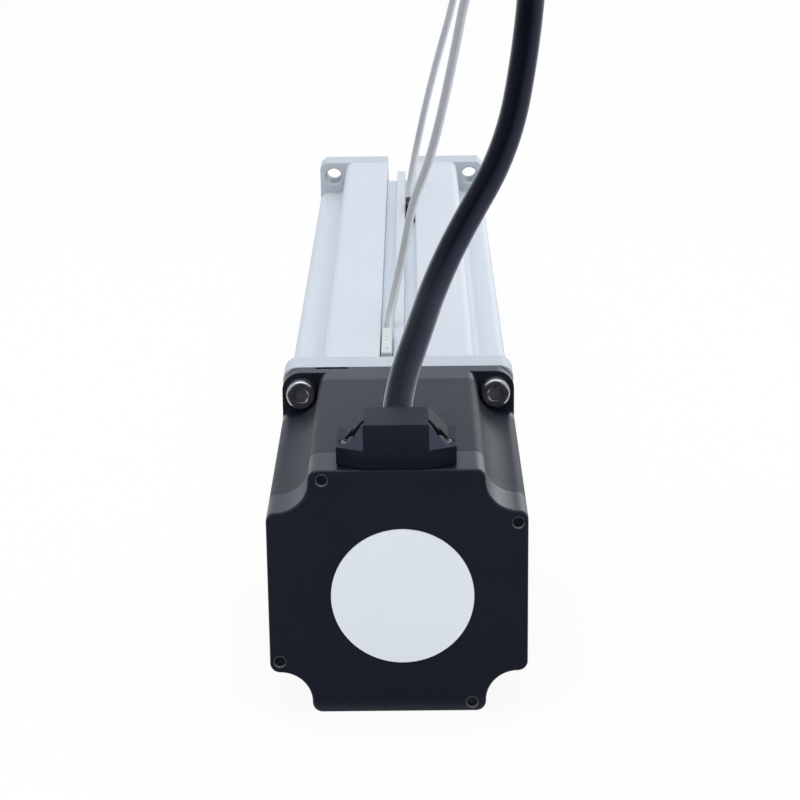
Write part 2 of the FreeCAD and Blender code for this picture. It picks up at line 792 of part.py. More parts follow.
# Wave spring behind the rear bearing
spring = new_body("bearing_spring")
ring(spring, S.rear_outer / 2 - 2.6, S.rear_outer / 2 - 0.3, rear_seat, 2)

# Drive screw: rotor shaft, collar, screw and front tip in one piece
drive_screw = new_body("drive_screw")
core_front = bell_rear - S.core_setback
core_rear = stack_rear + S.core_setback
core_length = (core_front - core_rear - S.core_magnet) / 2
tip_end = -S.tip_reach
tip_back = tip_end - S.tip_bush - S.ring_thick - 1
journal = S.rear_inner / 2
turn(
    drive_screw,
    [
        (0, rear_bearing - 0.5),
        (journal, rear_bearing - 0.5),
        (journal, stack_rear),
        (shaft, stack_rear),
        (shaft, core_front),
        (S.collar_wide / 2, core_front),
        (S.collar_wide / 2, bearing_rear),
        (shaft, bearing_rear),
        (shaft, tip_back),
        (S.tip_wide / 2, tip_back),
        (S.tip_wide / 2, tip_end),
        (0, tip_end),
    ],
)

# Lock nut that clamps the front bearing
locknut = new_body("bearing_locknut")
ring(locknut, shaft + S.fit_gap / 2, S.locknut_wide / 2, plate_rear, S.locknut_thick)

# Rotor: two toothed cores and the magnet between them
tooth_depth = 0.7
core_outer = S.rotor_bore / 2 - S.air_gap


def rotor_core(label, start):
    """A core with its ring of teeth."""
    body = new_body(label)
    ring(body, shaft + S.fit_gap / 2, core_outer - tooth_depth, start, core_length)
    gap = [
        (core_outer - tooth_depth - 0.1, -0.55),
        (core_outer, -0.5),
        (core_outer, 0.5),
        (core_outer - tooth_depth - 0.1, 0.55),
    ]
    tooth = pad(body, start, [gap], core_length)
    around(body, [tooth], 50)
    return body


rotor_core("rotor_core_front", core_front - core_length)
rotor_core("rotor_core_rear", core_rear)
magnet = new_body("rotor_magnet")
ring(
    magnet,
    shaft + S.fit_gap / 2,
    S.rotor_bore / 2 - 3,
    core_rear + core_length,
    S.core_magnet,
)

# Bush and clip on the screw's front tip, guided in the rod
tip_bush = new_body("screw_tip_bush")
ring(tip_bush, S.tip_wide / 2 + S.fit_gap / 2, S.rod_bore / 2 - S.air_gap, tip_back, S.tip_bush)
tip_clip = new_body("screw_tip_clip")
ring(
    tip_clip,
    S.tip_wide / 2 + S.fit_gap / 2,
    S.tip_wide / 2 + 2,
    tip_back + S.tip_bush,
    S.ring_thick,
)

# Nut with its flange, magnet ring and piston
nut_hole = shaft + S.air_gap / 2
drive_nut = new_body("drive_nut")
barrel_rear = nut_rear + S.nut_flange
barrel_front = barrel_rear + S.nut_length
turn(
    drive_nut,
    [
        (nut_hole, nut_rear),
        (piston_half, nut_rear),
        (piston_half, barrel_rear),
        (S.nut_wide / 2, barrel_rear),
        (S.nut_wide / 2, barrel_front),
        (nut_hole, barrel_front),
    ],
)
magnet_ring = new_body("magnet_ring")
ring(magnet_ring, S.nut_wide / 2 + S.fit_gap, piston_half, barrel_rear, S.magnet_thick)

piston = new_body("piston")
piston_rear = barrel_rear + S.magnet_thick
socket_rear = barrel_front + S.socket_web
turn(
    piston,
    [
        (S.nut_wide / 2 + S.fit_gap, piston_rear),
        (piston_half, piston_rear),
        (piston_half, piston_front),
        (rod + S.fit_gap, piston_front),
        (rod + S.fit_gap, socket_rear),
        (nut_hole + 0.5, socket_rear),
        (nut_hole + 0.5, barrel_front + S.fit_gap),
        (S.nut_wide / 2 + S.fit_gap, barrel_front + S.fit_gap),
    ],
)
wear_front = piston_front - 3
wear_rear = wear_front - S.wear_wide
wear_floor = piston_half - S.wear_deep
turn(
    piston,
    box(wear_floor, piston_half + 1, wear_rear, wear_front),
    "PartDesign::Groove",
)
key_start = (piston_rear + wear_rear - S.key_length) / 2 - S.key_back
for side in (-1, 1):
    near = side * (piston_half - S.key_deep)
    far = side * (piston_half + 1)
    seat = box(
        near if side > 0 else far,
        far if side > 0 else near,
        key_start,
        key_start + S.key_length,
    )
    pocket(piston, -S.key_wide / 2, [seat], S.key_wide, role="XY_Plane")

wear_ring = new_body("wear_ring")
ring(wear_ring, wear_floor, bore - S.fit_gap, wear_rear, S.wear_wide)

guide_keys = new_body("guide_keys")
key_out = bore + S.keyway_deep - S.air_gap / 2
for side in (-1, 1):
    near = side * (piston_half - S.key_deep)
    far = side * key_out
    bar = box(
        near if side > 0 else far,
        far if side > 0 else near,
        key_start,
        key_start + S.key_length,
    )
    pad(guide_keys, -S.key_wide / 2, [bar], S.key_wide, role="XY_Plane")

# Hollow rod with wrench flats
rod_body = new_body("piston_rod")
rod_front = S.rod_out
turn(
    rod_body,
    [
        (0, rod_front),
        (rod, rod_front),
        (rod, socket_rear),
        (S.rod_bore / 2, socket_rear),
        (S.rod_bore / 2, rod_front - S.rod_cap),
        (0, rod_front - S.rod_cap),
    ],
)
flat_rear = rod_front - S.flat_length
core_radius = S.thread_core / 2
for side in (-1, 1):
    near = side * S.flat_across / 2
    far = side * (rod + 1)
    cut = box(near if side > 0 else far, far if side > 0 else near, -rod, rod)
    pocket(rod_body, flat_rear, [cut], S.flat_length)
pocket(
    rod_body,
    rod_front - S.stud_in,
    [Circle(0, 0, core_radius + S.fit_gap / 2)],
    S.stud_in,
)
nose = [
    "Edge%d" % i
    for i, edge in enumerate(rod_body.Shape.Edges, 1)
    if isinstance(edge.Curve, Part.Circle)
    and abs(edge.Curve.Radius - number(rod)) < 1e-6
    and abs(edge.CenterOfMass.y - number(rod_front)) < 1e-6
]
soften(rod_body, nose, S.bush_wall / 2, "Chamfer")

# Threaded stud and lock nut at the rod's end
stud = new_body("rod_end_stud")
stud_radius = S.stud_wide / 2
stud_front = rod_front + S.stud_out
turn(
    stud,
    [
        (0, rod_front - S.stud_in),
        (core_radius, rod_front - S.stud_in),
        (core_radius, rod_front + S.nut_thick),
        (stud_radius, rod_front + S.nut_thick),
        (stud_radius, stud_front - 1),
        (stud_radius - 1, stud_front),
        (0, stud_front),
    ],
)
rod_nut = new_body("rod_end_nut")
pad(rod_nut, rod_front, [hexagon(0, 0, S.nut_across)], S.nut_thick)
turn(
    rod_nut,
    [
        (S.nut_across / 2 + 0.1, rod_front + S.nut_thick),
        (S.nut_across / 2 + 2, rod_front + S.nut_thick),
        (S.nut_across / 2 + 2, rod_front + S.nut_thick - 1),
    ],
    "PartDesign::Groove",
)
pocket(rod_nut, rod_front, [Circle(0, 0, core_radius + S.fit_gap / 2)], S.nut_thick)

# Bush, wiper and clip in the front flange
rod_bush = new_body("rod_bush")
ring(rod_bush, rod + S.fit_gap, bush_outer, spigot_rear, bush_front - spigot_rear)
wiper = new_body("rod_wiper")
turn(
    wiper,
    [
        (rod + 2, -S.wiper_deep),
        (S.wiper_wide / 2, -S.wiper_deep),
        (S.wiper_wide / 2, wiper_front),
        (rod + S.fit_gap, wiper_front),
        (rod + S.fit_gap, wiper_front - 1.5),
        (rod + 2, wiper_front - 3),
    ],
)
wiper_clip = new_body("wiper_clip")
ring(wiper_clip, rod + 1.6, clip_outer, wiper_front, S.ring_thick)

# Rubber bumpers at both ends of the stroke
front_bumper = new_body("front_bumper")
ring(front_bumper, rod + 1.5, bore - 0.5, spigot_rear - S.bumper_thick, S.bumper_thick)
rear_bumper = new_body("rear_bumper")
ring(rear_bumper, S.plate_bore / 2 + 0.5, bore - 0.5, tube_rear, S.bumper_thick)

# Gland: a moulded cover with a raised block, slopes and two ears
gland_rear = motor_rear + 0.1
gland_bottom = half + S.gasket_thick
ear_level = half + S.ear_top
block_level = half + S.block_top
gland = new_body("gland_cover")
section = [
    (-S.gland_half, gland_bottom),
    (S.gland_half, gland_bottom),
    (S.gland_half, ear_level),
    (S.slope_half, ear_level),
    (S.block_half, block_level),
    (-S.block_half, block_level),
    (-S.slope_half, ear_level),
    (-S.gland_half, ear_level),
]
pad(gland, gland_rear, [section], S.gland_length)
gland_front = gland_rear + S.gland_length
for side in (-1, 1):
    corner = [
        (side * S.block_half, gland_rear),
        (side * S.gland_half, gland_rear + S.corner_back),
        (side * (S.gland_half + 1), gland_rear + S.corner_back),
        (side * (S.gland_half + 1), gland_rear - 1),
        (side * S.block_half, gland_rear - 1),
    ]
    pocket(gland, half, [corner], S.block_top + 1, role="XY_Plane")
lean = [
    (gland_front - S.block_short, block_level),
    (gland_front, ear_level),
    (gland_front + 1, ear_level),
    (gland_front + 1, block_level + 1),
    (gland_front - S.block_short, block_level + 1),
]
pocket(gland, -S.gland_half, [lean], 2 * S.gland_half, role="YZ_Plane")


def behind(forward):
    """What lies behind the gland's back, moved forward by a distance."""
    beyond = S.gland_half + 1
    slant = S.corner_back / (S.gland_half - S.block_half)
    side_back = gland_rear + forward + slant * (beyond - S.block_half)
    return [
        (-beyond, gland_rear - 1),
        (beyond, gland_rear - 1),
        (beyond, side_back),
        (S.block_half, gland_rear + forward),
        (-S.block_half, gland_rear + forward),
        (-beyond, side_back),
    ]


leaning = gland.newObject("PartDesign::SubtractiveLoft", "SubtractiveLoft")
leaning.Profile = draw(gland, "XY_Plane", ear_level, [behind(0)])
leaning.Sections = [draw(gland, "XY_Plane", block_level, [behind(S.block_lean)])]
leaning.Ruled = True
check(leaning)
ear_floor = ear_level - S.ear_head_high - 0.1
ear_screw_y = gland_rear + S.ear_screw_back
ear_head = S.ear_head_wide / 2
ear_hole = S.ear_screw_wide / 2 + S.fit_gap
for side in (-1, 1):
    pit = Circle(side * S.ear_screw_side, ear_screw_y, ear_head + 1.5 * S.fit_gap)
    pocket(gland, ear_floor, [pit], S.block_top, role="XY_Plane")
    groove = [
        (side * (S.block_half - 0.5), ear_screw_y - 4.1),
        (side * (S.block_half + 1.85), ear_screw_y - 5.3),
        (side * (S.ear_screw_side - 0.6), ear_screw_y - 1.2),
        (side * (S.ear_screw_side - 1.1), ear_screw_y - 0.9),
        (side * (S.block_half + 0.8), ear_screw_y - 1.2),
        (side * (S.block_half - 0.1), ear_screw_y - 2.0),
    ]
    pocket(gland, ear_level, [groove], S.block_top, role="XY_Plane")
    hole = Circle(side * S.ear_screw_side, ear_screw_y, ear_hole)
    pocket(gland, half, [hole], S.ear_top, role="XY_Plane")
edges = edges_at(gland, [(-S.block_half, block_level), (S.block_half, block_level)])
soften(gland, edges, S.ear_head_high / 4, "Fillet")

# Way of the cable through the gland, leaning up and forward
rise = math.radians(number(S.cable_rise))
ahead = FreeCAD.Vector(0, math.cos(rise), math.sin(rise))
exit_z = half + S.cable_exit
exit_y = gland_front - S.block_short * 0.38
bore_tilt = FreeCAD.Rotation(FreeCAD.Vector(0, 0, 1), ahead)
seat_y = exit_y - S.cable_seat * math.cos(rise)
seat_z = exit_z - S.cable_seat * math.sin(rise)
sleeve_radius = S.cable_wide / 2 + S.sleeve_wall


def way(body, radius, length, y, z, kind):
    """A cylinder along the cable's way out."""
    feature = body.newObject("PartDesign::%sCylinder" % kind, kind)
    feature.Radius = number(radius)
    feature.setExpression("Radius", radius.formula)
    feature.Height = number(length)
    feature.setExpression("Height", length.formula)
    feature.Placement = FreeCAD.Placement(
        FreeCAD.Vector(0, number(y), number(z)), bore_tilt
    )
    feature.setExpression("Placement.Base.y", y.formula)
    feature.setExpression("Placement.Base.z", z.formula)
    return check(feature)


way(gland, sleeve_radius + S.fit_gap, S.cable_seat * 3, seat_y, seat_z, "Subtractive")

# Rubber sleeve round the cable in the gland
sleeve = new_body("cable_sleeve")
sleeve_length = S.cable_seat + 0.8
way(sleeve, sleeve_radius, sleeve_length, seat_y, seat_z, "Additive")
core_y = seat_y + math.cos(rise)
core_z = seat_z + math.sin(rise)
way(sleeve, S.cable_wide / 2 + S.fit_gap / 2, S.cable_seat * 2, core_y, core_z, "Subtractive")

# Gasket under the gland
gasket = new_body("gland_gasket")
inset = S.gasket_thick / 2
sheet_outline = [
    (-S.block_half, gland_rear + inset),
    (S.block_half, gland_rear + inset),
    (S.gland_half - inset, gland_rear + S.corner_back + inset),
    (S.gland_half - inset, gland_front - inset),
    (-S.gland_half + inset, gland_front - inset),
    (-S.gland_half + inset, gland_rear + S.corner_back + inset),
]
holes = [
    Circle(S.ear_screw_side, ear_screw_y, ear_hole),
    Circle(-S.ear_screw_side, ear_screw_y, ear_hole),
]
pad(gasket, half, [sheet_outline], S.gasket_thick, role="XY_Plane")
pocket(gasket, half, holes, S.gasket_thick, role="XY_Plane")
pocket(rear_cap, half - 5, holes, 6, role="XY_Plane")

# Gland screws
gland_screws = new_body("gland_screws")
places = [(S.ear_screw_side, ear_screw_y), (-S.ear_screw_side, ear_screw_y)]
pad(
    gland_screws,
    half - 4,
    [Circle(x, y, S.ear_screw_wide / 2) for x, y in places],
    ear_floor - half + 4,
    role="XY_Plane",
)
pad(
    gland_screws,
    ear_floor,
    [Circle(x, y, ear_head) for x, y in places],
    S.ear_head_high,
    role="XY_Plane",
)
domes = [
    "Edge%d" % i
    for i, edge in enumerate(gland_screws.Shape.Edges, 1)
    if isinstance(edge.Curve, Part.Circle)
    and abs(edge.CenterOfMass.z - number(ear_floor + S.ear_head_high)) < 1e-6
]
soften(gland_screws, domes, S.ear_head_high / 3, "Chamfer")
slots = [box(x - 0.25, x + 0.25, y - ear_head, y + ear_head) for x, y in places]
pocket(gland_screws, ear_floor + S.ear_head_high / 2, slots, S.ear_head_high, role="XY_Plane")

# Sensors in the two grooves
def sensor(label, side, start, length):
    """A slim sensor that lies on the floor of its groove."""
    body = new_body(label)
    middle = side * (S.channel_half + S.ridge_half) / 2
    left = middle - S.sensor_wide / 2
    right = middle + S.sensor_wide / 2
    pad(
        body,
        start,
        [box(left, right, groove_floor, groove_floor + S.sensor_high)],
        length,
    )
    top = groove_floor + S.sensor_high
    soften(body, edges_at(body, [(left, top), (right, top)]), S.sensor_wide / 12, "Chamfer")
    return middle, top


near_start = tube_rear + S.sensor_near
far_start = -S.sensor_far - S.sensor_short
near_x, near_top = sensor("near_sensor", -1, near_start, S.sensor_long)
far_x, far_top = sensor("far_sensor", 1, far_start, S.sensor_short)
label_body = new_body("near_sensor_label")
rim = S.sensor_wide / 12
pad(
    label_body,
    near_start + rim,
    [
        box(
            near_x - S.sensor_wide / 2 + rim,
            near_x + S.sensor_wide / 2 - rim,
            near_top,
            near_top + S.label_thick,
        )
    ],
    S.sensor_long - 2 * rim,
)

# Cables and leads, each along straight runs joined by tangent arcs.
# Y is counted from the gland's back for the cable, and from a sensor's rear end for its lead.
CABLE_RUNS = [
    (5.7, 37.8, 49.8),
    (8.6, 46.5, 55.8),
    (14.2, 54.6, 66.0),
    (26.3, 64.0, 84.6),
    (30.9, 68.6, 108.7),
    (32.3, 63.4, 132.0),
    (44.4, 54.7, 147.9),
    (62.4, 45.1, 152.6),
    (80.6, 36.9, 144.2),
    (92.6, 30.3, 126.3),
    (99.1, 24.3, 104.9),
    (102.6, 18.9, 82.7),
    (104.4, 14.8, 60.1),
    (105.1, 12.6, 37.2),
    (105.2, 13.3, 15.0),
    (104.9, 19.9, -4.6),
    (104.7, 31.7, -18.6),
    (104.7, 46.4, -24.95),
    (104.7, 56.4, -24.95),
]
NEAR_RUNS = [
    (-1.5, 36.5, 28.4),
    (1.2, 42.4, 43.5),
    (4.4, 25.2, 62.3),
    (7.7, 7.0, 73.2),
    (13.9, -4.6, 98.9),
    (18.1, -15.3, 124.3),
    (25.8, -29.3, 139.3),
    (38.6, -42.6, 148.6),
    (57.7, -51.6, 148.6),
    (75.8, -58.8, 139.0),
    (87.0, -65.7, 121.8),
    (90.6, -68.7, 100.1),
    (92.6, -71.2, 78.0),
    (93.8, -74.1, 56.1),
    (94.4, -77.6, 34.1),
    (94.7, -83.0, 12.1),
    (94.9, -87.0, -6.9),
    (96.0, -85.8, -20.6),
    (97.0, -78.0, -27.07),
    (97.0, -69.4, -27.07),
]
FAR_RUNS = [
    (2.9, 25.4, 29.4),
    (6.6, 28.0, 46.9),
    (10.9, 3.5, 69.7),
    (16.9, -20.4, 94.9),
    (19.0, -41.7, 111.3),
    (27.0, -63.6, 121.2),
    (36.1, -86.3, 129.9),
    (45.7, -109.7, 137.3),
    (56.2, -133.1, 141.9),
    (67.6, -156.2, 141.4),
    (80.0, -178.1, 134.7),
    (90.8, -197.9, 121.6),
    (95.3, -213.8, 100.7),
    (97.2, -226.4, 76.2),
    (98.0, -235.1, 50.4),
    (98.6, -243.1, 24.2),
    (99.2, -249.9, 1.4),
    (100.3, -253.1, -15.2),
    (101.6, -245.3, -27.07),
    (101.6, -236.1, -27.07),
]


def route(points):
    """A wire of straight runs joined by arcs, and the smallest arc's radius."""
    edges = []
    radii = []
    start = points[0]
    for before, corner_point, after in zip(points, points[1:], points[2:]):
        into = corner_point - before
        out = after - corner_point
        shorter = min(into.Length, out.Length)
        into = into.normalize()
        out = out.normalize()
        half_turn = into.getAngle(out) / 2
        trim = 0.45 * shorter
        radius = trim / math.tan(half_turn)
        first = corner_point - into * trim
        last = corner_point + out * trim
        inward = (out - into).normalize()
        centre = corner_point + inward * (radius / math.cos(half_turn))
        middle = centre - inward * radius
        edges.append(Part.LineSegment(start, first).toShape())
        edges.append(Part.Arc(first, middle, last).toShape())
        radii.append(radius)
        start = last
    edges.append(Part.LineSegment(start, points[-1]).toShape())
    return Part.Wire(edges), radii


def cord(label, width, points):
    """A round cord along its route, checked against its section times its length."""
    points = [FreeCAD.Vector(*[number(c) for c in p]) for p in points]
    path, radii = route(points)
    radius = sheet.get(width) / 2
    direction = points[1] - points[0]
    rim = Part.Wire(Part.Circle(points[0], direction, radius).toShape())
    tube = path.makePipeShell([rim], True, False)
    body = doc.addObject("Part::Feature", label)
    body.Label = label
    body.Shape = tube
    expected = math.pi * radius * radius * path.Length
    print(
        "%s length %.1f, smallest radius %.1f, volume %.4f of expected, runs %s"
        % (
            label,
            path.Length,
            min(radii),
            tube.Volume / expected,
            " ".join("%.0f" % (b - a).Length for a, b in zip(points, points[1:])),
        )
    )
    return body


def onward(points, y):
    """Points of a cord whose Y is given from a place along the axis."""
    return [(x, y + away, z) for x, away, z in points]


def plug(label, wide, high, length, end):
    """A small connector that lies on the floor, its cord going in at the back."""
    body = new_body(label)
    x, y = end[0], end[1]
    left = x - wide / 2
    right = x + wide / 2
    top = high - half
    pad(body, y, [box(left, right, -half, top)], length)
    rims = [(side, z) for side in (left, right) for z in (-half, top)]
    soften(body, edges_at(body, rims), wide / 11, "Chamfer")
    return body


# The straight part of the cable ends this far in front of the gland
cable_out = 7.3
cable_start = (0, seat_y + math.cos(rise), seat_z + math.sin(rise))
cable_away = (0, exit_y + cable_out * math.cos(rise), exit_z + cable_out * math.sin(rise))
cable_runs = onward(CABLE_RUNS, gland_rear)
cord("motor_cable", "cable_wide", [cable_start, cable_away] + cable_runs)
lead_level = groove_floor + S.lead_wide / 2 + 1.95
lead_out = 5.0
near_front = near_start + S.sensor_long
near_lead = [(near_x, near_front, lead_level), (near_x, near_front + lead_out, lead_level)]
near_runs = onward(NEAR_RUNS, near_start)
cord("near_sensor_lead", "lead_wide", near_lead + near_runs)
far_front = far_start + S.sensor_short
far_lead = [(far_x, far_front, lead_level), (far_x, far_front + lead_out, lead_level)]
far_runs = onward(FAR_RUNS, far_start)
cord("far_sensor_lead", "lead_wide", far_lead + far_runs)
plug("motor_cable_plug", S.cable_plug, S.cable_plug, S.cable_plug_long, cable_runs[-1])
plug("near_lead_plug", S.lead_plug, S.lead_plug, S.lead_plug_long, near_runs[-1])
plug("far_lead_plug", S.lead_plug, S.lead_plug, S.lead_plug_long, far_runs[-1])

# Checks and files
doc.recompute()
for item in doc.Objects:
    if "Invalid" in item.State or "Error" in item.State:
        raise RuntimeError("%s of the document failed" % item.Name)
os.makedirs("parts", exist_ok=True)
solids = 0
for item in doc.Objects:
    if item.TypeId not in ("PartDesign::Body", "Part::Feature"):
        continue
    shape = item.Shape
    if shape.isNull() or not shape.isValid() or not shape.Solids:
        raise RuntimeError("%s has no valid solid" % item.Label)
    solids += len(shape.Solids)
    shape.exportStep("parts/%s.step" % item.Label)
print("%d solids written" % solids)
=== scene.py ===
"""Finish, cables and studio for the electric cylinder."""

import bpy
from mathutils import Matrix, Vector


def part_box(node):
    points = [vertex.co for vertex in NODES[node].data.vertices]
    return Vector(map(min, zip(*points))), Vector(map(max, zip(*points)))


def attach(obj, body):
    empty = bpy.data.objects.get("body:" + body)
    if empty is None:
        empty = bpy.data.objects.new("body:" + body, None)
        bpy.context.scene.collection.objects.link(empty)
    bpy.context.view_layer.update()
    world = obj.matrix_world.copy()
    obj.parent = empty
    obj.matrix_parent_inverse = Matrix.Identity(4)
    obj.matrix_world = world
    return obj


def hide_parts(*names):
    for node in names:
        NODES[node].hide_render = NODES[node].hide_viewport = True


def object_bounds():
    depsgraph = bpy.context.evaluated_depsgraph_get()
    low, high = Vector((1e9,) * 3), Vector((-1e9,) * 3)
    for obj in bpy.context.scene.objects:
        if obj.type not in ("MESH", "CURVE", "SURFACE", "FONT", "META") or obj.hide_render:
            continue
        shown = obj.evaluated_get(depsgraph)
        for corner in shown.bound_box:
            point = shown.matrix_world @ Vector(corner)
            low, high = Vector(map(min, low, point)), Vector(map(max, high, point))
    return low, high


bl_info = {
    "name": "Electric cylinder",
    "version": (1, 0, 0),
    "blender": (4, 5, 0),
    "location": "3D View > Sidebar > Cylinder",
    "description": "Finishes, cables, screws and studio of an electric cylinder",
    "category": "Object",
}

import math

import bmesh
import bpy
from bpy.props import FloatProperty, FloatVectorProperty, PointerProperty
from mathutils import Matrix

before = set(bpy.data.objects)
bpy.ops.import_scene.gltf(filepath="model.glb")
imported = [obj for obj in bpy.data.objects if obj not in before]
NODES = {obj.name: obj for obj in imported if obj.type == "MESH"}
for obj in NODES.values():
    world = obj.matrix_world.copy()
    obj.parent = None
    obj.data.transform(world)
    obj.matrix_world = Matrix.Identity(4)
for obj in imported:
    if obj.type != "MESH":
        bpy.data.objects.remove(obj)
CAD_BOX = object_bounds()
MM = 0.001


def srgb(red, green, blue):
    """A colour given as on screen, 0 to 255, turned into Blender's own."""
    values = []
    for part in (red, green, blue):
        part = part / 255
        values.append(part / 12.92 if part <= 0.04045 else ((part + 0.055) / 1.055) ** 2.4)
    return tuple(values)


# Sizes and colours that a user would change


def colour(name, description, red, green, blue):
    """A colour setting for a finish."""
    return FloatVectorProperty(
        name=name,
        description=description,
        subtype="COLOR",
        size=3,
        min=0.0,
        max=1.0,
        default=srgb(red, green, blue),
    )


class CylinderColours(bpy.types.PropertyGroup):
    """Colours of the finishes."""

    silver: colour("Silver tube", "Anodised extrusion", 204, 209, 216)
    plate: colour("Silver plates", "Anodised flange and plate", 188, 195, 202)
    motor: colour("Motor paint", "Cast bell and rear cap", 27, 30, 40)
    stack: colour("Laminations", "Painted edges of the stack", 36, 38, 45)
    gland: colour("Gland", "Moulded cable gland", 19, 23, 32)
    # Painted light: this paler tone goes on the gland where it faces up or leans aside, standing in
    # for light from above.
    painted_light: colour("Gland dust", "Gland where it faces up and holds dust", 40, 43, 52)
    cable: colour("Motor cable", "Jacket of the motor cable", 9, 12, 22)
    lead: colour("Sensor leads", "Jacket of the sensor leads", 167, 169, 171)
    label: colour("Round label", "Pale label on the motor's back", 219, 224, 230)
    sensor: colour("Near sensor", "Body of the near sensor", 188, 192, 192)
    sensor_label: colour("Sensor label", "Label on the near sensor", 206, 212, 213)
    steel: colour("Screw steel", "Bright screws", 173, 173, 175)


class CylinderCords(bpy.types.PropertyGroup):
    """Sizes of the cables."""

    cable_width: FloatProperty(
        name="Motor cable",
        description="Outer diameter of the motor cable",
        default=0.0065,
        min=0.004,
        max=0.009,
        unit="LENGTH",
    )
    lead_width: FloatProperty(
        name="Sensor leads",
        description="Outer diameter of the two sensor leads",
        default=0.00225,
        min=0.0015,
        max=0.003,
        unit="LENGTH",
    )


def strength(name, description, default, most=60.0):
    """A strength setting for a light."""
    return FloatProperty(name=name, description=description, default=default, min=0.0, max=most)


class CylinderStudio(bpy.types.PropertyGroup):
    """Camera and light."""

    lens: FloatProperty(
        name="Lens",
        description="Focal length on a 36 mm sensor, in millimetres",
        default=101.47,
        min=20.0,
        max=200.0,
    )
    room_light: strength("Room light", "Strength of the even light from all sides", 0.62, 2.0)
    top_lamp: strength("Top lamp", "Power of the wide lamp above the cylinder", 6.5)
    side_lamp: strength("Side lamp", "Power of the lamp beyond the flange, on the right", 1.8)
    front_lamp: strength("Front lamp", "Power of the lamp behind the camera", 4.5)


# Finishes


class Value:
    """A socket that takes part in sums as a number does."""

    def __init__(self, finish, socket):
        self.finish = finish
        self.socket = socket

    def __add__(self, other):
        return self.finish.sum("ADD", self, other)

    def __sub__(self, other):
        return self.finish.sum("SUBTRACT", self, other)

    def __mul__(self, other):
        return self.finish.sum("MULTIPLY", self, other)

    def __rsub__(self, other):
        return self.finish.sum("SUBTRACT", other, self)

    __radd__ = __add__
    __rmul__ = __mul__


class Finish:
    """A procedural material under construction."""

    def __init__(self, name):
        self.material = bpy.data.materials.new(name)
        self.material.use_nodes = True
        self.tree = self.material.node_tree
        self.tree.nodes.clear()
        self.output = self.tree.nodes.new("ShaderNodeOutputMaterial")
        self.shader = self.tree.nodes.new("ShaderNodeBsdfPrincipled")
        self.tree.links.new(self.shader.outputs[0], self.output.inputs["Surface"])

    def feed(self, socket, value):
        """Sets a socket to a number or colour, or links it."""
        if isinstance(value, Value):
            self.tree.links.new(value.socket, socket)
        elif isinstance(value, (tuple, list)) and len(value) == 3 and socket.type == "RGBA":
            socket.default_value = (*value, 1.0)
        else:
            socket.default_value = value

    def node(self, kind, settings=None, out=0, **inputs):
        """A node of one type, with its settings first and then its sockets."""
        made = self.tree.nodes.new(kind)
        for key, value in (settings or {}).items():
            setattr(made, key, value)
        for key, value in inputs.items():
            spot = int(key[1:]) if key[0] == "i" and key[1:].isdigit() else key.replace("_", " ")
            self.feed(made.inputs[spot], value)
        return Value(self, made.outputs[out])

    def sum(self, operation, one, two):
        """One step of arithmetic."""
        return self.node("ShaderNodeMath", {"operation": operation}, i0=one, i1=two)

    def over(self, value, limit):
        """1 where a value is above a limit, and 0 elsewhere."""
        return self.sum("GREATER_THAN", value, limit)

    def under(self, value, limit):
        """1 where a value is below a limit, and 0 elsewhere."""
        return self.sum("LESS_THAN", value, limit)

    def unsigned(self, value):
        """A value without its sign."""
        return self.sum("ABSOLUTE", value, 0.0)

    def part(self, vector, axis):
        """One coordinate of a vector."""
        return self.node("ShaderNodeSeparateXYZ", out=axis, i0=vector)

    def facing(self, kind="Normal"):
        """The direction that the surface faces, rounded, or flat as True Normal."""
        return self.node("ShaderNodeNewGeometry", out=kind)

    def place(self, scale=(1.0, 1.0, 1.0), move=(0.0, 0.0, 0.0)):
        """The point on the object, stretched and moved."""
        spot = self.node("ShaderNodeTexCoord", out="Object")
        return self.node("ShaderNodeMapping", i0=spot, Location=move, Scale=scale)

    def noise(self, spot, size, detail=2.0, rough=0.5):
        """Soft random values from 0 to 1, as many to the metre as size says."""
        return self.node(
            "ShaderNodeTexNoise", Vector=spot, Scale=size, Detail=detail, Roughness=rough
        )

    def between(self, low, high, one, two, value):
        """A ramp of a value from one number to another."""
        return self.node(
            "ShaderNodeMapRange",
            {"clamp": True},
            Value=value,
            From_Min=low,
            From_Max=high,
            To_Min=one,
            To_Max=two,
        )

    def spread(self, one, two, noise):
        """A number between two others, as a noise goes through its usual values."""
        return self.between(0.3, 0.7, one, two, noise)

    def blend(self, share, one, two):
        """A colour between two colours."""
        return self.node(
            "ShaderNodeMix", {"data_type": "RGBA"}, out=2, i0=share, i6=one, i7=two
        )

    def mottled(self, share, shade, dark, pale):
        """A colour that drifts between a darker and a paler tone of itself."""
        return self.blend(share, dimmed(shade, dark), dimmed(shade, pale))

    def softened(self, radius):
        """A normal that rounds sharp edges."""
        return self.node("ShaderNodeBevel", {"samples": 6}, Radius=radius)

    def bump(self, height, depth, edge=None):
        """A normal from a height, in metres of depth."""
        extra = {} if edge is None else {"Normal": edge}
        return self.node("ShaderNodeBump", Strength=1.0, Distance=depth, Height=height, **extra)

    def rays(self):
        """1 for what is seen straight, what a mirror shows and what glass shows."""
        kinds = ("Is Camera Ray", "Is Glossy Ray", "Is Transmission Ray")
        return [self.node("ShaderNodeLightPath", out=kind) for kind in kinds]

    def mix_in(self, share, one, two):
        """Puts a mix of two shaders on the output."""
        mixed = self.node("ShaderNodeMixShader", i0=share, i1=one, i2=two)
        self.feed(self.output.inputs["Surface"], mixed)

    def surface(self, **inputs):
        """The shader's own sockets, and the finished material."""
        for key, value in inputs.items():
            self.feed(self.shader.inputs[key.replace("_", " ")], value)
        return self.material


class Room(Finish):
    """The light from all sides, made of the same kind of nodes."""

    def __init__(self, name):
        self.world = bpy.data.worlds.new(name)
        self.world.use_nodes = True
        self.tree = self.world.node_tree
        self.tree.nodes.clear()
        self.output = self.tree.nodes.new("ShaderNodeOutputWorld")


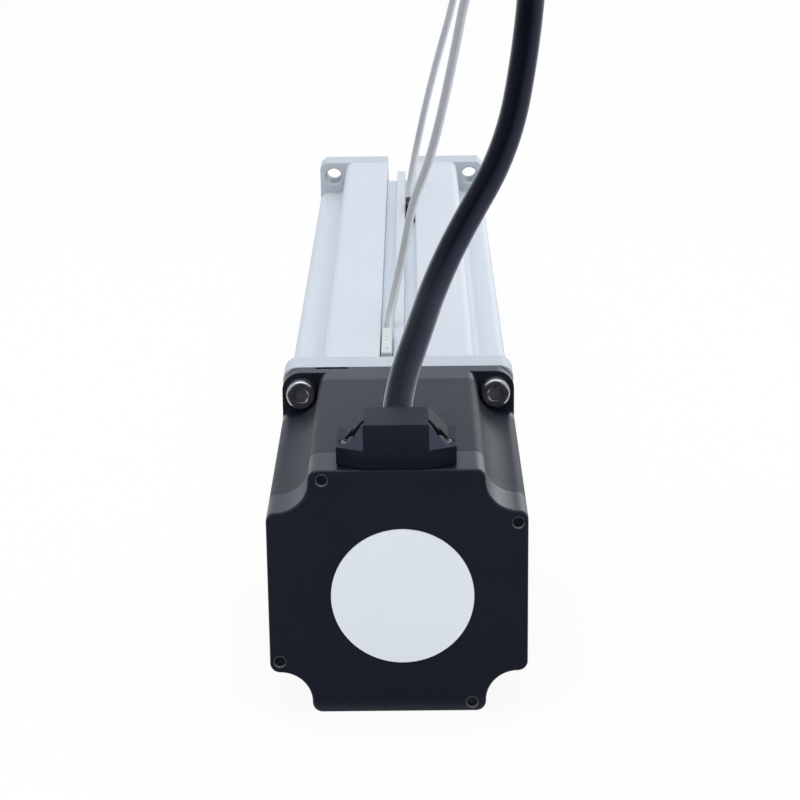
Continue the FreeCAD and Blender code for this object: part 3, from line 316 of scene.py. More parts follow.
# Tint of the gloss on dark and moulded surfaces

COLD = (0.84, 0.9, 1.0)


def dimmed(shade, factor):
    """A colour made darker or lighter by a number."""
    return tuple(min(1.0, part * factor) for part in shade)


# Places of the faces where light or shade is painted into their piece's colour

GROOVE_FLOOR_LOW = 21.5 * MM
GROOVE_FLOOR_HIGH = 22.1 * MM
GROOVES_HALF_WIDTH = 6.2 * MM
RECESS_MIDDLE = -16.2 * MM
RECESS_HALF_WIDTH = 4.0 * MM
RECESS_FLOOR = 26.9 * MM
PLATE_ALONG = -250.0 * MM
WEDGE_TOP = 32.6 * MM
WEDGE_REACH = 10.05 * MM


def painted_floor_light(f):
    """1 on the floors of the two sensor grooves, which get a painted highlight, and 0 elsewhere."""
    spot = f.place()
    side = f.unsigned(f.part(spot, "X"))
    rise = f.part(spot, "Z")
    at_height = f.over(rise, GROOVE_FLOOR_LOW) * f.under(rise, GROOVE_FLOOR_HIGH)
    return at_height * f.under(side, GROOVES_HALF_WIDTH)


def painted_recess_shade(f):
    """1 on the strip of the plate's back that the flange's small recess bares, which gets painted
    shade.
    """
    spot = f.place()
    backward = f.under(f.part(f.facing("True Normal"), "Y"), -0.9)
    off = f.unsigned(f.part(spot, "X") - RECESS_MIDDLE)
    inside = f.under(off, RECESS_HALF_WIDTH) * f.over(f.part(spot, "Z"), RECESS_FLOOR)
    return backward * inside * f.under(f.part(spot, "Y"), PLATE_ALONG)


def anodised(name, shade, along, edge, floors=False, recess=False):
    """Fine matt anodised aluminium with faint drawing marks along one axis."""
    f = Finish(name)
    marks_across = 900.0
    marks_along = 6.0
    stretch = [marks_along if axis == along else marks_across for axis in "XYZ"]
    marks = f.noise(f.place(tuple(stretch)), 1.0, 2.0)
    grain = f.noise(f.place(), 2600.0, 3.0)
    cloud = f.noise(f.place(), 28.0, 2.0)
    tone = f.between(0.25, 0.75, 0.0, 1.0, marks * 0.35 + grain * 0.25 + cloud * 0.4)
    base = f.mottled(tone, shade, 0.955, 1.03)
    if floors:
        # Painted light: the sensor grooves' floors are made paler.
        base = f.blend(painted_floor_light(f) * 0.8, base, dimmed(shade, 1.3))
    if recess:
        # Painted shade: the bared strip is coloured dark, as shadow in the recess.
        base = f.blend(painted_recess_shade(f), base, srgb(30, 33, 42))
    return f.surface(
        Base_Color=base,
        Metallic=0.25,
        Roughness=f.spread(0.42, 0.56, grain),
        Specular_IOR_Level=0.4,
        Normal=f.bump(marks * 0.5 + grain, 0.000006, f.softened(edge)),
    )


def motor_paint(name, shade, edge):
    """Black powder paint with a fine orange-peel grain."""
    f = Finish(name)
    grain = f.noise(f.place(), 1900.0, 3.0)
    cloud = f.noise(f.place(), 45.0, 3.0)
    return f.surface(
        Base_Color=f.mottled(cloud, shade, 0.88, 1.12),
        Roughness=f.spread(0.3, 0.38, grain),
        Specular_IOR_Level=0.24,
        Specular_Tint=COLD,
        Normal=f.bump(grain, 0.000005, f.softened(edge)),
    )


def laminations(name, shade):
    """Painted edges of thin steel sheets, one behind the other along Y."""
    f = Finish(name)
    sheets = f.node(
        "ShaderNodeTexWave",
        {"wave_type": "BANDS", "bands_direction": "Y", "wave_profile": "TRI"},
        Vector=f.place(),
        Scale=314.0,
        Distortion=0.0,
        Detail=0.0,
    )
    uneven = f.noise(f.place((18.0, 3200.0, 18.0)), 1.0, 3.0)
    cloud = f.noise(f.place(), 60.0, 3.0)
    tone = f.spread(0.0, 1.0, uneven * 0.6 + cloud * 0.4)
    return f.surface(
        Base_Color=f.mottled(tone, shade, 0.88, 1.12),
        Roughness=f.spread(0.4, 0.5, uneven),
        Specular_IOR_Level=0.12,
        Specular_Tint=COLD,
        Normal=f.bump(sheets * 0.3 + uneven, 0.000004, f.softened(0.0004)),
    )


def moulded(name, shade, rough, edge=0.0003, gloss=0.4):
    """Moulded plastic with the fine texture of its tool."""
    f = Finish(name)
    grain = f.noise(f.place(), 3400.0, 2.0)
    cloud = f.noise(f.place(), 90.0, 2.0)
    return f.surface(
        Base_Color=f.mottled(cloud, shade, 0.93, 1.06),
        Roughness=f.spread(rough - 0.05, rough + 0.06, grain),
        Specular_IOR_Level=gloss,
        Specular_Tint=COLD,
        Normal=f.bump(grain, 0.00001, f.softened(edge)),
    )


def groove_shade_mask(f, rise):
    """1 on the floors of the wedge grooves beside the gland's block, which are kept dark as painted
    shade, and 0 elsewhere.
    """
    spot = f.place()
    side = f.unsigned(f.part(spot, "X"))
    low = f.under(f.part(spot, "Z"), WEDGE_TOP)
    return low * f.over(rise, 0.9) * f.under(side, WEDGE_REACH)


def painted_hip_light(f):
    """1 on the leaning faces beside the block's back, which get painted light, and 0 elsewhere."""
    flat = f.facing("True Normal")
    backward = f.between(-0.5, -0.35, 1.0, 0.0, f.part(flat, "Y"))
    aside = f.between(0.15, 0.3, 0.0, 1.0, f.unsigned(f.part(flat, "X")))
    return backward * aside * f.between(0.04, 0.12, 0.0, 1.0, f.part(flat, "Z"))


def plastic_with_painted_light(name, shade, painted_light):
    """Matt moulded plastic with painted light: paler where it leans back or faces up."""
    f = Finish(name)
    grain = f.noise(f.place(), 3400.0, 2.0)
    cloud = f.noise(f.place(), 120.0, 2.0)
    lean = f.facing()
    rise = f.part(lean, "Z")
    turned = f.unsigned(f.part(lean, "X"))
    # Painted light: faces that face up, and more so those also turned aside, get the paler colour,
    # as if lit from above.
    top_light_share = f.between(0.02, 0.34, 0.0, 1.0, rise * (turned * 3.0 + 1.0) + cloud * 0.04 - 0.02)
    share = top_light_share * (1.0 - groove_shade_mask(f, rise))
    return f.surface(
        # Painted light: the hips get a still paler tone; the wedge grooves' floors keep the plain
        # dark colour as painted shade.
        Base_Color=f.blend(painted_hip_light(f), f.blend(share, shade, painted_light), dimmed(painted_light, 2.2)),
        Roughness=f.spread(0.44, 0.54, grain),
        Specular_IOR_Level=0.06,
        Specular_Tint=COLD,
        Normal=f.bump(grain, 0.000008, f.softened(0.0001)),
    )


def jacket(name, shade, painted_east_light, rough, gloss, rim):
    """Extruded cable jacket with a soft rim, slightly uneven, with painted light: another, paler
    shade toward +X.
    """
    f = Finish(name)
    grain = f.noise(f.place(), 2200.0, 2.0)
    drift = f.noise(f.place(), 24.0, 2.0)
    toward = f.between(0.05, 0.6, 0.0, 1.0, f.part(f.facing(), "X"))
    return f.surface(
        Base_Color=f.blend(toward, f.mottled(drift, shade, 0.9, 1.1), painted_east_light),
        Roughness=f.spread(rough - 0.04, rough + 0.06, grain),
        Specular_IOR_Level=gloss,
        Specular_Tint=COLD,
        Sheen_Weight=rim,
        Sheen_Roughness=0.35,
        Sheen_Tint=COLD,
        Normal=f.bump(grain * 0.15 + drift, 0.00001),
    )


def steel(name, shade, rough, scale=1500.0, metal=1.0):
    """Machined steel with fine turning marks and small stains."""
    f = Finish(name)
    marks = f.noise(f.place((1.0, 3.0, 1.0)), scale, 3.0)
    stain = f.noise(f.place(), 260.0, 3.0)
    return f.surface(
        Base_Color=f.mottled(stain, shade, 0.9, 1.06),
        Metallic=metal,
        Roughness=f.spread(rough - 0.03, rough + 0.05, marks),
        Normal=f.bump(marks, 0.0000006, f.softened(0.00015)),
    )


def wound_copper(name):
    """Enamelled copper wire, turn beside turn."""
    f = Finish(name)
    turns = f.node(
        "ShaderNodeTexWave",
        {"wave_type": "BANDS", "bands_direction": "DIAGONAL"},
        Vector=f.place(),
        Scale=500.0,
        Distortion=1.5,
        Detail=1.0,
    )
    return f.surface(
        Base_Color=f.mottled(turns, srgb(150, 82, 48), 0.6, 1.25),
        Metallic=0.6,
        Roughness=0.35,
        Normal=f.bump(turns, 0.0001),
    )


def paper_label(name, shade):
    """Smooth pale label film with a faint mottling."""
    f = Finish(name)
    mottle = f.noise(f.place(), 700.0, 3.0)
    cloud = f.noise(f.place(), 40.0, 2.0)
    return f.surface(
        Base_Color=f.mottled(mottle * 0.4 + cloud * 0.6, shade, 0.97, 1.0),
        Roughness=f.spread(0.5, 0.62, mottle),
        Specular_IOR_Level=0.35,
        Normal=f.bump(mottle, 0.000006),
    )


# Printed bars on the near sensor's label, in shares of its length and width:
# place along it, distance from its middle line, width, thickness

BARS = [
    (0.14, 0.1, 0.5, 0.022),
    (0.19, 0.0, 0.3, 0.03),
    (0.52, -0.05, 0.42, 0.018),
    (0.64, -0.05, 0.42, 0.018),
    (0.82, 0.08, 0.3, 0.018),
]


def marked_label(name, shade, ink):
    """Pale label with a few small printed bars and no words."""
    low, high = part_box("near_sensor_label")
    size = high - low
    f = Finish(name)
    spot = f.place()
    across = f.part(spot, "X")
    along = f.part(spot, "Y")
    printed = None
    for place, side, wide, thick in BARS:
        off = across - (low.x + size.x * (0.5 + side))
        up = along - (low.y + size.y * place)
        in_width = f.under(f.unsigned(off), size.x * wide / 2)
        bar = in_width * f.under(f.unsigned(up), size.y * thick / 2)
        printed = bar if printed is None else f.sum("MAXIMUM", printed, bar)
    mottle = f.noise(f.place(), 1200.0, 2.0)
    return f.surface(
        Base_Color=f.blend(printed * 0.7, f.mottled(mottle, shade, 0.95, 1.0), ink),
        Roughness=f.spread(0.42, 0.52, mottle),
        Specular_IOR_Level=0.35,
        Normal=f.bump(mottle, 0.000004, f.softened(0.00005)),
    )


MADE = {}


def finishes():
    """All materials of the cylinder, made once."""
    if MADE:
        return MADE
    c = bpy.context.scene.cylinder_colours
    bright = tuple(c.steel)
    MADE.update(
        silver=anodised("anodised_tube", tuple(c.silver), "Y", 0.0003, floors=True),
        plate=anodised("anodised_plate", tuple(c.plate), "X", 0.0004, recess=True),
        motor=motor_paint("motor_paint", tuple(c.motor), 0.0004),
        stack=laminations("stack_laminations", tuple(c.stack)),
        gland=plastic_with_painted_light("gland_plastic", tuple(c.gland), tuple(c.painted_light)),
        # Painted light: the cable's and leads' sides that face +X get the paler colour given second
        # here.
        cable=jacket(
            "cable_jacket", tuple(c.cable), srgb(44, 46, 60), rough=0.3, gloss=0.05, rim=0.9
        ),
        lead=jacket(
            "lead_jacket", tuple(c.lead), srgb(212, 216, 222), rough=0.5, gloss=0.4, rim=1.0
        ),
        rubber=moulded("black_rubber", srgb(20, 20, 22), 0.6, gloss=0.15),
        label=paper_label("round_label", tuple(c.label)),
        sensor=moulded("sensor_plastic", tuple(c.sensor), 0.45, 0.00015),
        sensor_label=marked_label("sensor_label", tuple(c.sensor_label), srgb(128, 138, 132)),
        sensor_dark=moulded("sensor_dark", srgb(13, 14, 18), 0.5, 0.00015, gloss=0.1),
        plug=moulded("plug_plastic", srgb(28, 28, 31), 0.45, 0.0002),
        screw=steel("screw_steel", bright, 0.24, 500.0, metal=0.95),
        # Painted shade: this darker steel lines the insides of the screw sockets.
        socket=steel("socket_steel", srgb(112, 110, 112), 0.45, metal=0.5),
        gland_screw=steel("blackened_steel", dimmed(bright, 0.3), 0.34),
        # Painted shade: the screw ends deep in the motor's back holes get a near-black colour.
        screw_end=steel("oiled_steel", srgb(22, 26, 38), 0.5, metal=0.2),
        thread=steel("bare_thread", srgb(106, 107, 112), 0.36, metal=0.7),
        dark_steel=steel("dark_steel", srgb(92, 92, 95), 0.38),
        bearing=steel("bearing_steel", srgb(188, 190, 193), 0.22),
        chrome=steel("rod_chrome", srgb(205, 208, 212), 0.12, 2600.0),
        bronze=steel("turned_bronze", srgb(176, 138, 84), 0.34),
        magnet=steel("magnet_grey", srgb(84, 84, 88), 0.45),
        alloy=steel("turned_alloy", srgb(186, 189, 194), 0.36),
        polymer=moulded("slide_polymer", srgb(222, 216, 200), 0.5),
        copper=wound_copper("wound_copper"),
        contact=steel("gold_contact", srgb(212, 176, 96), 0.3),
    )
    return MADE


NODE_FINISH = {
    "silver": ["cylinder_tube"],
    "plate": ["front_flange", "rear_adapter_plate"],
    "motor": ["motor_front_bell", "motor_rear_cap"],
    "stack": ["stator_stack"],
    "label": ["rear_label"],
    "sensor": ["near_sensor"],
    "sensor_label": ["near_sensor_label"],
    "sensor_dark": ["far_sensor"],
    "screw": ["plate_screws"],
    "screw_end": ["motor_long_screws"],
    "dark_steel": [
        "bearing_spring",
        "bearing_locknut",
        "rotor_core_front",
        "rotor_core_rear",
        "screw_tip_clip",
        "wiper_clip",
        "rod_end_nut",
    ],
    "bearing": [
        "front_bearing_outer_ring",
        "front_bearing_inner_ring",
        "front_bearing_balls",
        "rear_bearing_outer_ring",
        "rear_bearing_inner_ring",
        "rear_bearing_balls",
        "drive_screw",
    ],
    "chrome": ["piston_rod"],
    "bronze": ["drive_nut", "rod_bush"],
    "magnet": ["rotor_magnet", "magnet_ring"],
    "alloy": ["piston"],
    "polymer": ["wear_ring", "guide_keys", "screw_tip_bush"],
    "copper": ["stator_windings"],
    "rubber": ["rod_wiper", "front_bumper", "rear_bumper", "cable_sleeve", "gland_gasket"],
}


# Modelling helpers


def alone(piece):
    """Selects one piece and nothing else."""
    bpy.ops.object.select_all(action="DESELECT")
    piece.select_set(True)
    bpy.context.view_layer.objects.active = piece


def fresh(name, kind, **settings):
    """Adds a primitive and names it."""
    bpy.ops.object.select_all(action="DESELECT")
    getattr(bpy.ops.mesh, "primitive_%s_add" % kind)(**settings)
    piece = bpy.context.active_object
    piece.name = name
    bpy.ops.object.transform_apply(location=True, rotation=True, scale=True)
    return piece


def in_edit(piece, mode, chosen, action):
    """Runs one edit-mode step on the edges or faces that a test picks."""
    alone(piece)
    bpy.ops.object.mode_set(mode="EDIT")
    bpy.ops.mesh.select_mode(type=mode)
    bpy.ops.mesh.select_all(action="DESELECT")
    mesh = bmesh.from_edit_mesh(piece.data)
    for part in mesh.faces if mode == "FACE" else mesh.edges:
        if chosen(part):
            part.select_set(True)
    bmesh.update_edit_mesh(piece.data)
    action()
    bpy.ops.object.mode_set(mode="OBJECT")


def use(piece, kind, **settings):
    """Adds a modifier and applies it."""
    alone(piece)
    made = piece.modifiers.new(kind.title(), kind)
    for key, value in settings.items():
        setattr(made, key, value)
    bpy.ops.object.modifier_apply(modifier=made.name)


def cut_with(piece, tool, operation="DIFFERENCE"):
    """Cuts a piece with another one, which is used up."""
    use(piece, "BOOLEAN", operation=operation, solver="EXACT", object=tool)
    bpy.data.objects.remove(tool)


def merged(name, parts):
    """Joins several pieces into one."""
    bpy.ops.object.select_all(action="DESELECT")
    for part in parts:
        part.select_set(True)
    bpy.context.view_layer.objects.active = parts[0]
    if len(parts) > 1:
        bpy.ops.object.join()
    parts[0].name = name
    return parts[0]


def level(edge, z, room=1e-5):
    """True where an edge lies at one height."""
    return all(abs(v.co.z - z) < room for v in edge.verts)


def smooth(piece, angle=35.0):
    """Smooth shading that keeps sharp edges."""
    alone(piece)
    bpy.ops.object.shade_smooth_by_angle(angle=math.radians(angle))


def finish_piece(piece, body, slot, *materials, replaces=()):
    """Materials and body of a finished piece, and the nodes that it replaces, hidden."""
    piece.data.materials.clear()
    for material in materials:
        piece.data.materials.append(material)
    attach(piece, body)
    if replaces:
        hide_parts(*replaces)


# Socket head screws of size M4

HEAD_RADIUS = 3.5 * MM
HEAD_HEIGHT = 4.0 * MM
SOCKET_ACROSS = 3.3 * MM
SOCKET_DEPTH = 1.6 * MM
SOCKET_RIM = SOCKET_ACROSS * 0.72
SOCKET_SHADE_REACH = 1.95 * MM
SOCKET_SHADE_DEPTH = 0.35 * MM
SHANK_RADIUS = 1.98 * MM
SHANK_SUNK = 0.05 * MM


def turned_copies(one, turn, spots):
    """Copies of one piece, each with its own mesh, turned alike and put in their places."""
    copies = []
    for spot in spots:
        copy = one.copy()
        copy.data = one.data.copy()
        bpy.context.scene.collection.objects.link(copy)
        copy.data.transform(Matrix.Translation(spot) @ turn)
        copies.append(copy)
    bpy.data.objects.remove(one)
    return copies


def screw_pattern(name, reach, spots, facing):
    """Socket head screws at several spots, their sockets facing along Y."""
    body = fresh(
        name,
        "cylinder",
        vertices=48,
        radius=HEAD_RADIUS,
        depth=HEAD_HEIGHT,
        location=(0, 0, -HEAD_HEIGHT / 2),
    )
    in_edit(
        body,
        "EDGE",
        lambda e: level(e, 0.0),
        lambda: bpy.ops.mesh.bevel(offset=HEAD_HEIGHT * 0.16, segments=4, affect="EDGES"),
    )
    in_edit(
        body,
        "EDGE",
        lambda e: level(e, -HEAD_HEIGHT),
        lambda: bpy.ops.mesh.bevel(offset=HEAD_HEIGHT * 0.05, segments=2, affect="EDGES"),
    )
    tool = fresh(
        "socket_tool",
        "cylinder",
        vertices=6,
        radius=SOCKET_ACROSS / math.sqrt(3),
        depth=2 * SOCKET_DEPTH,
        rotation=(0, 0, math.radians(30)),
    )
    cut_with(body, tool)
    rim = fresh(
        "rim_tool",
        "cone",
        vertices=36,
        radius1=0.0,
        radius2=SOCKET_RIM,
        depth=SOCKET_RIM / 2,
        location=(0, 0, -SOCKET_ACROSS * 0.14),
    )
    cut_with(body, rim)
    stem = fresh(
        "stem",
        "cylinder",
        vertices=28,
        radius=SHANK_RADIUS,
        depth=reach,
        location=(0, 0, -HEAD_HEIGHT - reach / 2 + SHANK_SUNK),
    )
    one = merged(name, [body, stem])
    smooth(one)
    turn = Matrix.Rotation(math.radians(-90 * facing), 4, "X")
    return merged(name, turned_copies(one, turn, spots))


def paint_socket_shade(piece, spots, facing):
    """Gives the inside of each socket the darker steel, as painted shade in the socket."""
    for polygon in piece.data.polygons:
        middle = polygon.center
        for x, y, z in spots:
            deep = (y - middle.y) * facing > SOCKET_SHADE_DEPTH
            if deep and math.hypot(middle.x - x, middle.z - z) < SOCKET_SHADE_REACH:
                polygon.material_index = 1


# Pieces

CAMERA_PLACE = (4.47 * MM, -782.91 * MM, 188.38 * MM)
CAMERA_TURN = (72.264, 0.695, 0.222)

# Lamps: name of the lamp and of its setting, place and turn, size, shown in mirrors

LAMPS = [
    ("top_lamp", (0.0, -0.1, 0.95), (0, 0, 0), 1.1, True),
    ("side_lamp", (0.6, 1.4, 0.3), (80, 0, 158), 0.7, True),
    ("front_lamp", (0.0, -1.5, 0.35), (76, 0, 0), 0.8, False),
]


def in_radians(degrees):
    """Three turns given in degrees, in radians."""
    return [math.radians(turn) for turn in degrees]


class CYLINDER_OT_studio(bpy.types.Operator):
    """Camera, floor, lamps and room light."""

    bl_idname = "cylinder.studio"
    bl_label = "Studio"

    def execute(self, context):
        scene = context.scene
        settings = scene.cylinder_studio
        data = bpy.data.cameras.new("photo_camera")
        data.lens = settings.lens
        data.sensor_width = 36.0
        data.clip_start = 0.01
        data.clip_end = 30.0
        camera = bpy.data.objects.new("photo_camera", data)
        camera.location = CAMERA_PLACE
        camera.rotation_euler = in_radians(CAMERA_TURN)
        scene.collection.objects.link(camera)
        scene.camera = camera

        ground = CAD_BOX[0][2]
        floor = fresh("floor", "plane", size=8.0, location=(0, 0, ground))
        floor.data.materials.append(self.floor_material())
        self.dark_card(ground)
        scene.world = self.room(settings.room_light)

        for name, place, turn, size, mirrored in LAMPS:
            light = bpy.data.lights.new(name, "AREA")
            light.size = size
            light.energy = getattr(settings, name)
            lamp = bpy.data.objects.new(name, light)
            lamp.location = place
            lamp.rotation_euler = in_radians(turn)
            lamp.visible_camera = False
            lamp.visible_glossy = mirrored
            scene.collection.objects.link(lamp)
        scene.view_settings.view_transform = "Standard"
        return {"FINISHED"}

    def dark_card(self, ground):
        """A dark card from behind the motor to behind the camera, and up from there."""
        near = CAD_BOX[0][1] - 0.002
        size = 3.0
        rise = 6.0
        above_floor = 0.0005
        card = fresh(
            "dark_card",
            "plane",
            size=size,
            location=(0, near - size / 2, ground + above_floor),
        )
        in_edit(
            card,
            "EDGE",
            lambda e: all(v.co.y < near - size + 0.1 for v in e.verts),
            lambda: bpy.ops.mesh.extrude_region_move(
                TRANSFORM_OT_translate={"value": (0, 0, rise)}
            ),
        )
        card.data.materials.append(self.card_material())
        card.visible_camera = False
        card.visible_diffuse = False
        card.visible_transmission = False
        card.visible_shadow = False

    def room(self, power):
        """Even light, a cold tint in mirrors, and white behind the object."""
        room = Room("white_room")
        straight, mirrored, through = room.rays()
        even = room.node("ShaderNodeBackground", Color=(0.95, 0.97, 1.0), Strength=power)
        cold = room.node("ShaderNodeBackground", Color=(0.84, 0.91, 1.0), Strength=1.0)
        white = room.node("ShaderNodeBackground", Color=(1.0, 1.0, 1.0), Strength=1.0)
        around = room.node("ShaderNodeMixShader", i0=mirrored, i1=even, i2=cold)
        room.mix_in(room.sum("MAXIMUM", straight, through), around, white)
        return room.world

    def card_material(self):
        """Black cloth that only shows as a reflection."""
        f = Finish("dark_card")
        fold = f.noise(f.place(), 3.0, 2.0)
        return f.surface(
            Base_Color=f.blend(fold, (0.008, 0.009, 0.012), (0.014, 0.015, 0.02)),
            Roughness=0.9,
            Specular_IOR_Level=0.0,
        )

    def floor_material(self):
        """White floor that keeps a faint shadow."""
        f = Finish("white_floor")
        f.surface(Base_Color=(0.86, 0.87, 0.88), Roughness=0.9, Specular_IOR_Level=0.0)
        glow = f.node("ShaderNodeEmission", Color=(1.0, 1.0, 1.0), Strength=1.0)
        straight, mirrored, through = f.rays()
        seen = f.sum("MAXIMUM", f.sum("MAXIMUM", straight, mirrored), through)
        f.mix_in(seen * 0.92, Value(f, f.shader.outputs[0]), glow)
        return f.material


class CYLINDER_OT_finishes(bpy.types.Operator):
    """Finishes of the pieces that come from the frame."""

    bl_idname = "cylinder.finishes"
    bl_label = "Finishes"

    def execute(self, context):
        made = finishes()
        for finish, names in NODE_FINISH.items():
            for name in names:
                data = NODES[name].data
                data.materials.clear()
                data.materials.append(made[finish])
        return {"FINISHED"}


# Routes of the cable and the leads, in millimetres

CABLE_ROUTE = [
    (0.0, -318.37, 33.06),
    (0.0, -309.33, 37.99),
    (5.7, -293.1, 49.8),
    (8.6, -284.4, 55.8),
    (14.2, -276.3, 66.0),
    (26.3, -266.9, 84.6),
    (30.9, -262.3, 108.7),
    (32.3, -267.5, 132.0),
    (44.4, -276.2, 147.9),
    (62.4, -285.8, 152.6),
    (80.6, -294.0, 144.2),
    (92.6, -300.6, 126.3),
    (99.1, -306.6, 104.9),
    (102.6, -312.0, 82.7),
    (104.4, -316.1, 60.1),
    (105.1, -318.3, 37.2),
    (105.2, -317.6, 15.0),
    (104.9, -311.0, -4.6),
    (104.7, -299.2, -18.6),
    (104.7, -284.5, -24.95),
    (104.7, -274.5, -24.95),
]
NEAR_ROUTE = [
    (-3.0, -218.2, 24.88),
    (-3.0, -213.2, 24.88),
    (-2.09, -204.7, 28.81),
    (1.54, -200.8, 44.01),
    (3.91, -216.61, 60.52),
    (8.65, -233.2, 75.4),
    (13.48, -246.3, 98.91),
    (17.83, -256.9, 124.31),
    (25.18, -270.5, 139.31),
    (38.6, -283.8, 148.6),
    (57.7, -292.8, 148.6),
    (77.0, -300.6, 140.5),
    (90.6, -307.9, 124.6),
    (91.6, -310.4, 100.1),
    (92.6, -312.4, 78.0),
    (93.8, -315.3, 56.1),
    (94.4, -318.8, 34.1),
    (94.7, -324.2, 12.1),
    (94.9, -328.2, -6.9),
    (96.0, -327.0, -20.6),
    (97.0, -319.2, -27.07),
    (97.0, -310.6, -27.07),
]
FAR_ROUTE = [
    (3.0, -62.5, 24.88),
    (3.0, -57.5, 24.88),
    (2.9, -49.1, 29.4),
    (6.6, -46.5, 46.9),
    (10.9, -71.0, 69.7),
    (16.9, -94.9, 94.9),
    (19.0, -116.2, 111.3),
    (27.0, -138.1, 121.2),
    (36.1, -160.8, 129.9),
    (45.7, -184.2, 137.3),
    (56.2, -207.6, 141.9),
    (67.6, -230.7, 141.4),
    (81.5, -252.6, 136.0),
    (94.6, -271.4, 124.4),
    (96.3, -288.3, 101.0),
    (97.2, -300.9, 76.2),
    (98.0, -309.6, 50.4),
    (98.6, -317.6, 24.2),
    (99.2, -324.4, 1.4),
    (100.3, -327.6, -15.2),
    (101.6, -319.8, -27.07),
    (101.6, -310.6, -27.07),
]


def cord_piece(name, node, route, width, material, slot):
    """A smooth round cord along its route, ending in its plug."""
    data = bpy.data.curves.new(name, "CURVE")
    data.dimensions = "3D"
    data.bevel_depth = width / 2
    data.bevel_resolution = 5
    data.resolution_u = 10
    data.use_fill_caps = True
    line = data.splines.new("NURBS")
    line.points.add(len(route) - 1)
    for point, spot in zip(line.points, route):
        point.co = (*[part * MM for part in spot], 1.0)
    line.order_u = 3
    line.use_endpoint_u = True
    piece = bpy.data.objects.new(name, data)
    bpy.context.scene.collection.objects.link(piece)
    finish_piece(piece, "base", slot, material, replaces=(node,))
    tuple(part * MM for part in route[0])
    return piece


class CYLINDER_OT_cords(bpy.types.Operator):
    """Motor cable, the two sensor leads and their plugs."""

    bl_idname = "cylinder.cords"
    bl_label = "Cable and leads"

    def execute(self, context):
        made = finishes()
        sizes = context.scene.cylinder_cords
        plug = self.cable_plug(made)
        near_plug = self.lead_plug("near_lead_connector", "near_lead_plug", made)
        far_plug = self.lead_plug("far_lead_connector", "far_lead_plug", made)
        cord_piece(
            "motor_cable_line",
            "motor_cable",
            CABLE_ROUTE,
            sizes.cable_width,
            made["cable"],
            "cable_black",
        )
        leads = [
            ("near_lead_line", "near_sensor_lead", NEAR_ROUTE, 0.3996, near_plug),
            ("far_lead_line", "far_sensor_lead", FAR_ROUTE, 0.4788, far_plug),
        ]
        for name, node, route, length, end in leads:
            cord_piece(
                name,
                node,
                route,
                sizes.lead_width,
                made["lead"],
                "lead_grey",
            )
        return {"FINISHED"}

    def shell(self, name, node, groove_depth):
        """A plug's housing: rounded block with grip grooves and an open front."""
        low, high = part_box(node)
        middle = (low + high) / 2
        size = high - low
        wall = size.x * 0.1
        mouth = size.y * 0.45
        piece = fresh(name, "cube", size=1.0, location=middle, scale=size)
        in_edit(
            piece,
            "EDGE",
            lambda e: abs(e.verts[0].co.y - e.verts[1].co.y) > size.y / 2,
            lambda: bpy.ops.mesh.bevel(offset=wall, segments=3, affect="EDGES"),
        )
        in_edit(
            piece,
            "FACE",
            lambda f: f.normal.y > 0.9,
            lambda: bpy.ops.mesh.inset(thickness=wall),
        )
        in_edit(
            piece,
            "FACE",
            lambda f: f.normal.y > 0.9 and f.calc_area() > size.x * size.z * 0.4,
            lambda: bpy.ops.mesh.extrude_region_move(
                TRANSFORM_OT_translate={"value": (0, -mouth, 0)}
            ),
        )
        for step in range(3):
            groove = fresh(
                "groove_tool",
                "cube",
                size=1.0,
                location=(middle.x, low.y + size.y * (0.16 + 0.13 * step), high.z),
                scale=(size.x * 0.7, size.y * 0.05, groove_depth),
            )
            cut_with(piece, groove)
        smooth(piece)
        return piece, low, high, size

    def pins(self, low, high, size, spots, width):
        """Contacts that stand in the open front."""
        made = []
        for x, z in spots:
            at = (
                low.x + size.x * x,
                high.y - size.y * 0.27,
                low.z + size.z * z,
            )
            pin = fresh("pin", "cube", size=1.0, location=at, scale=(width, size.y * 0.38, width))
            in_edit(
                pin,
                "FACE",
                lambda f: f.normal.y > 0.9,
                lambda: bpy.ops.mesh.bevel(offset=width * 0.25, segments=1, affect="EDGES"),
            )
            made.append(pin)
        return made

    def cable_plug(self, made):
        """Four-way plug of the motor cable."""
        piece, low, high, size = self.shell("cable_connector", "motor_cable_plug", 0.0008)
        spots = [(0.32, 0.32), (0.68, 0.32), (0.32, 0.68), (0.68, 0.68)]
        contacts = merged(
            "cable_connector_pins", self.pins(low, high, size, spots, size.x * 0.1)
        )
        finish_piece(piece, "base", "plug_black", made["plug"], replaces=("motor_cable_plug",))
        finish_piece(contacts, "base", "screw_steel", made["contact"])
        return piece

    def lead_plug(self, name, node, made):
        """Three-way plug of a sensor lead."""
        piece, low, high, size = self.shell(name, node, 0.0004)
        spots = [(0.27, 0.5), (0.5, 0.5), (0.73, 0.5)]
        contacts = merged(name + "_pins", self.pins(low, high, size, spots, size.x * 0.09))
        finish_piece(piece, "base", "plug_black", made["plug"], replaces=(node,))
        finish_piece(contacts, "base", "screw_steel", made["contact"])
        return piece


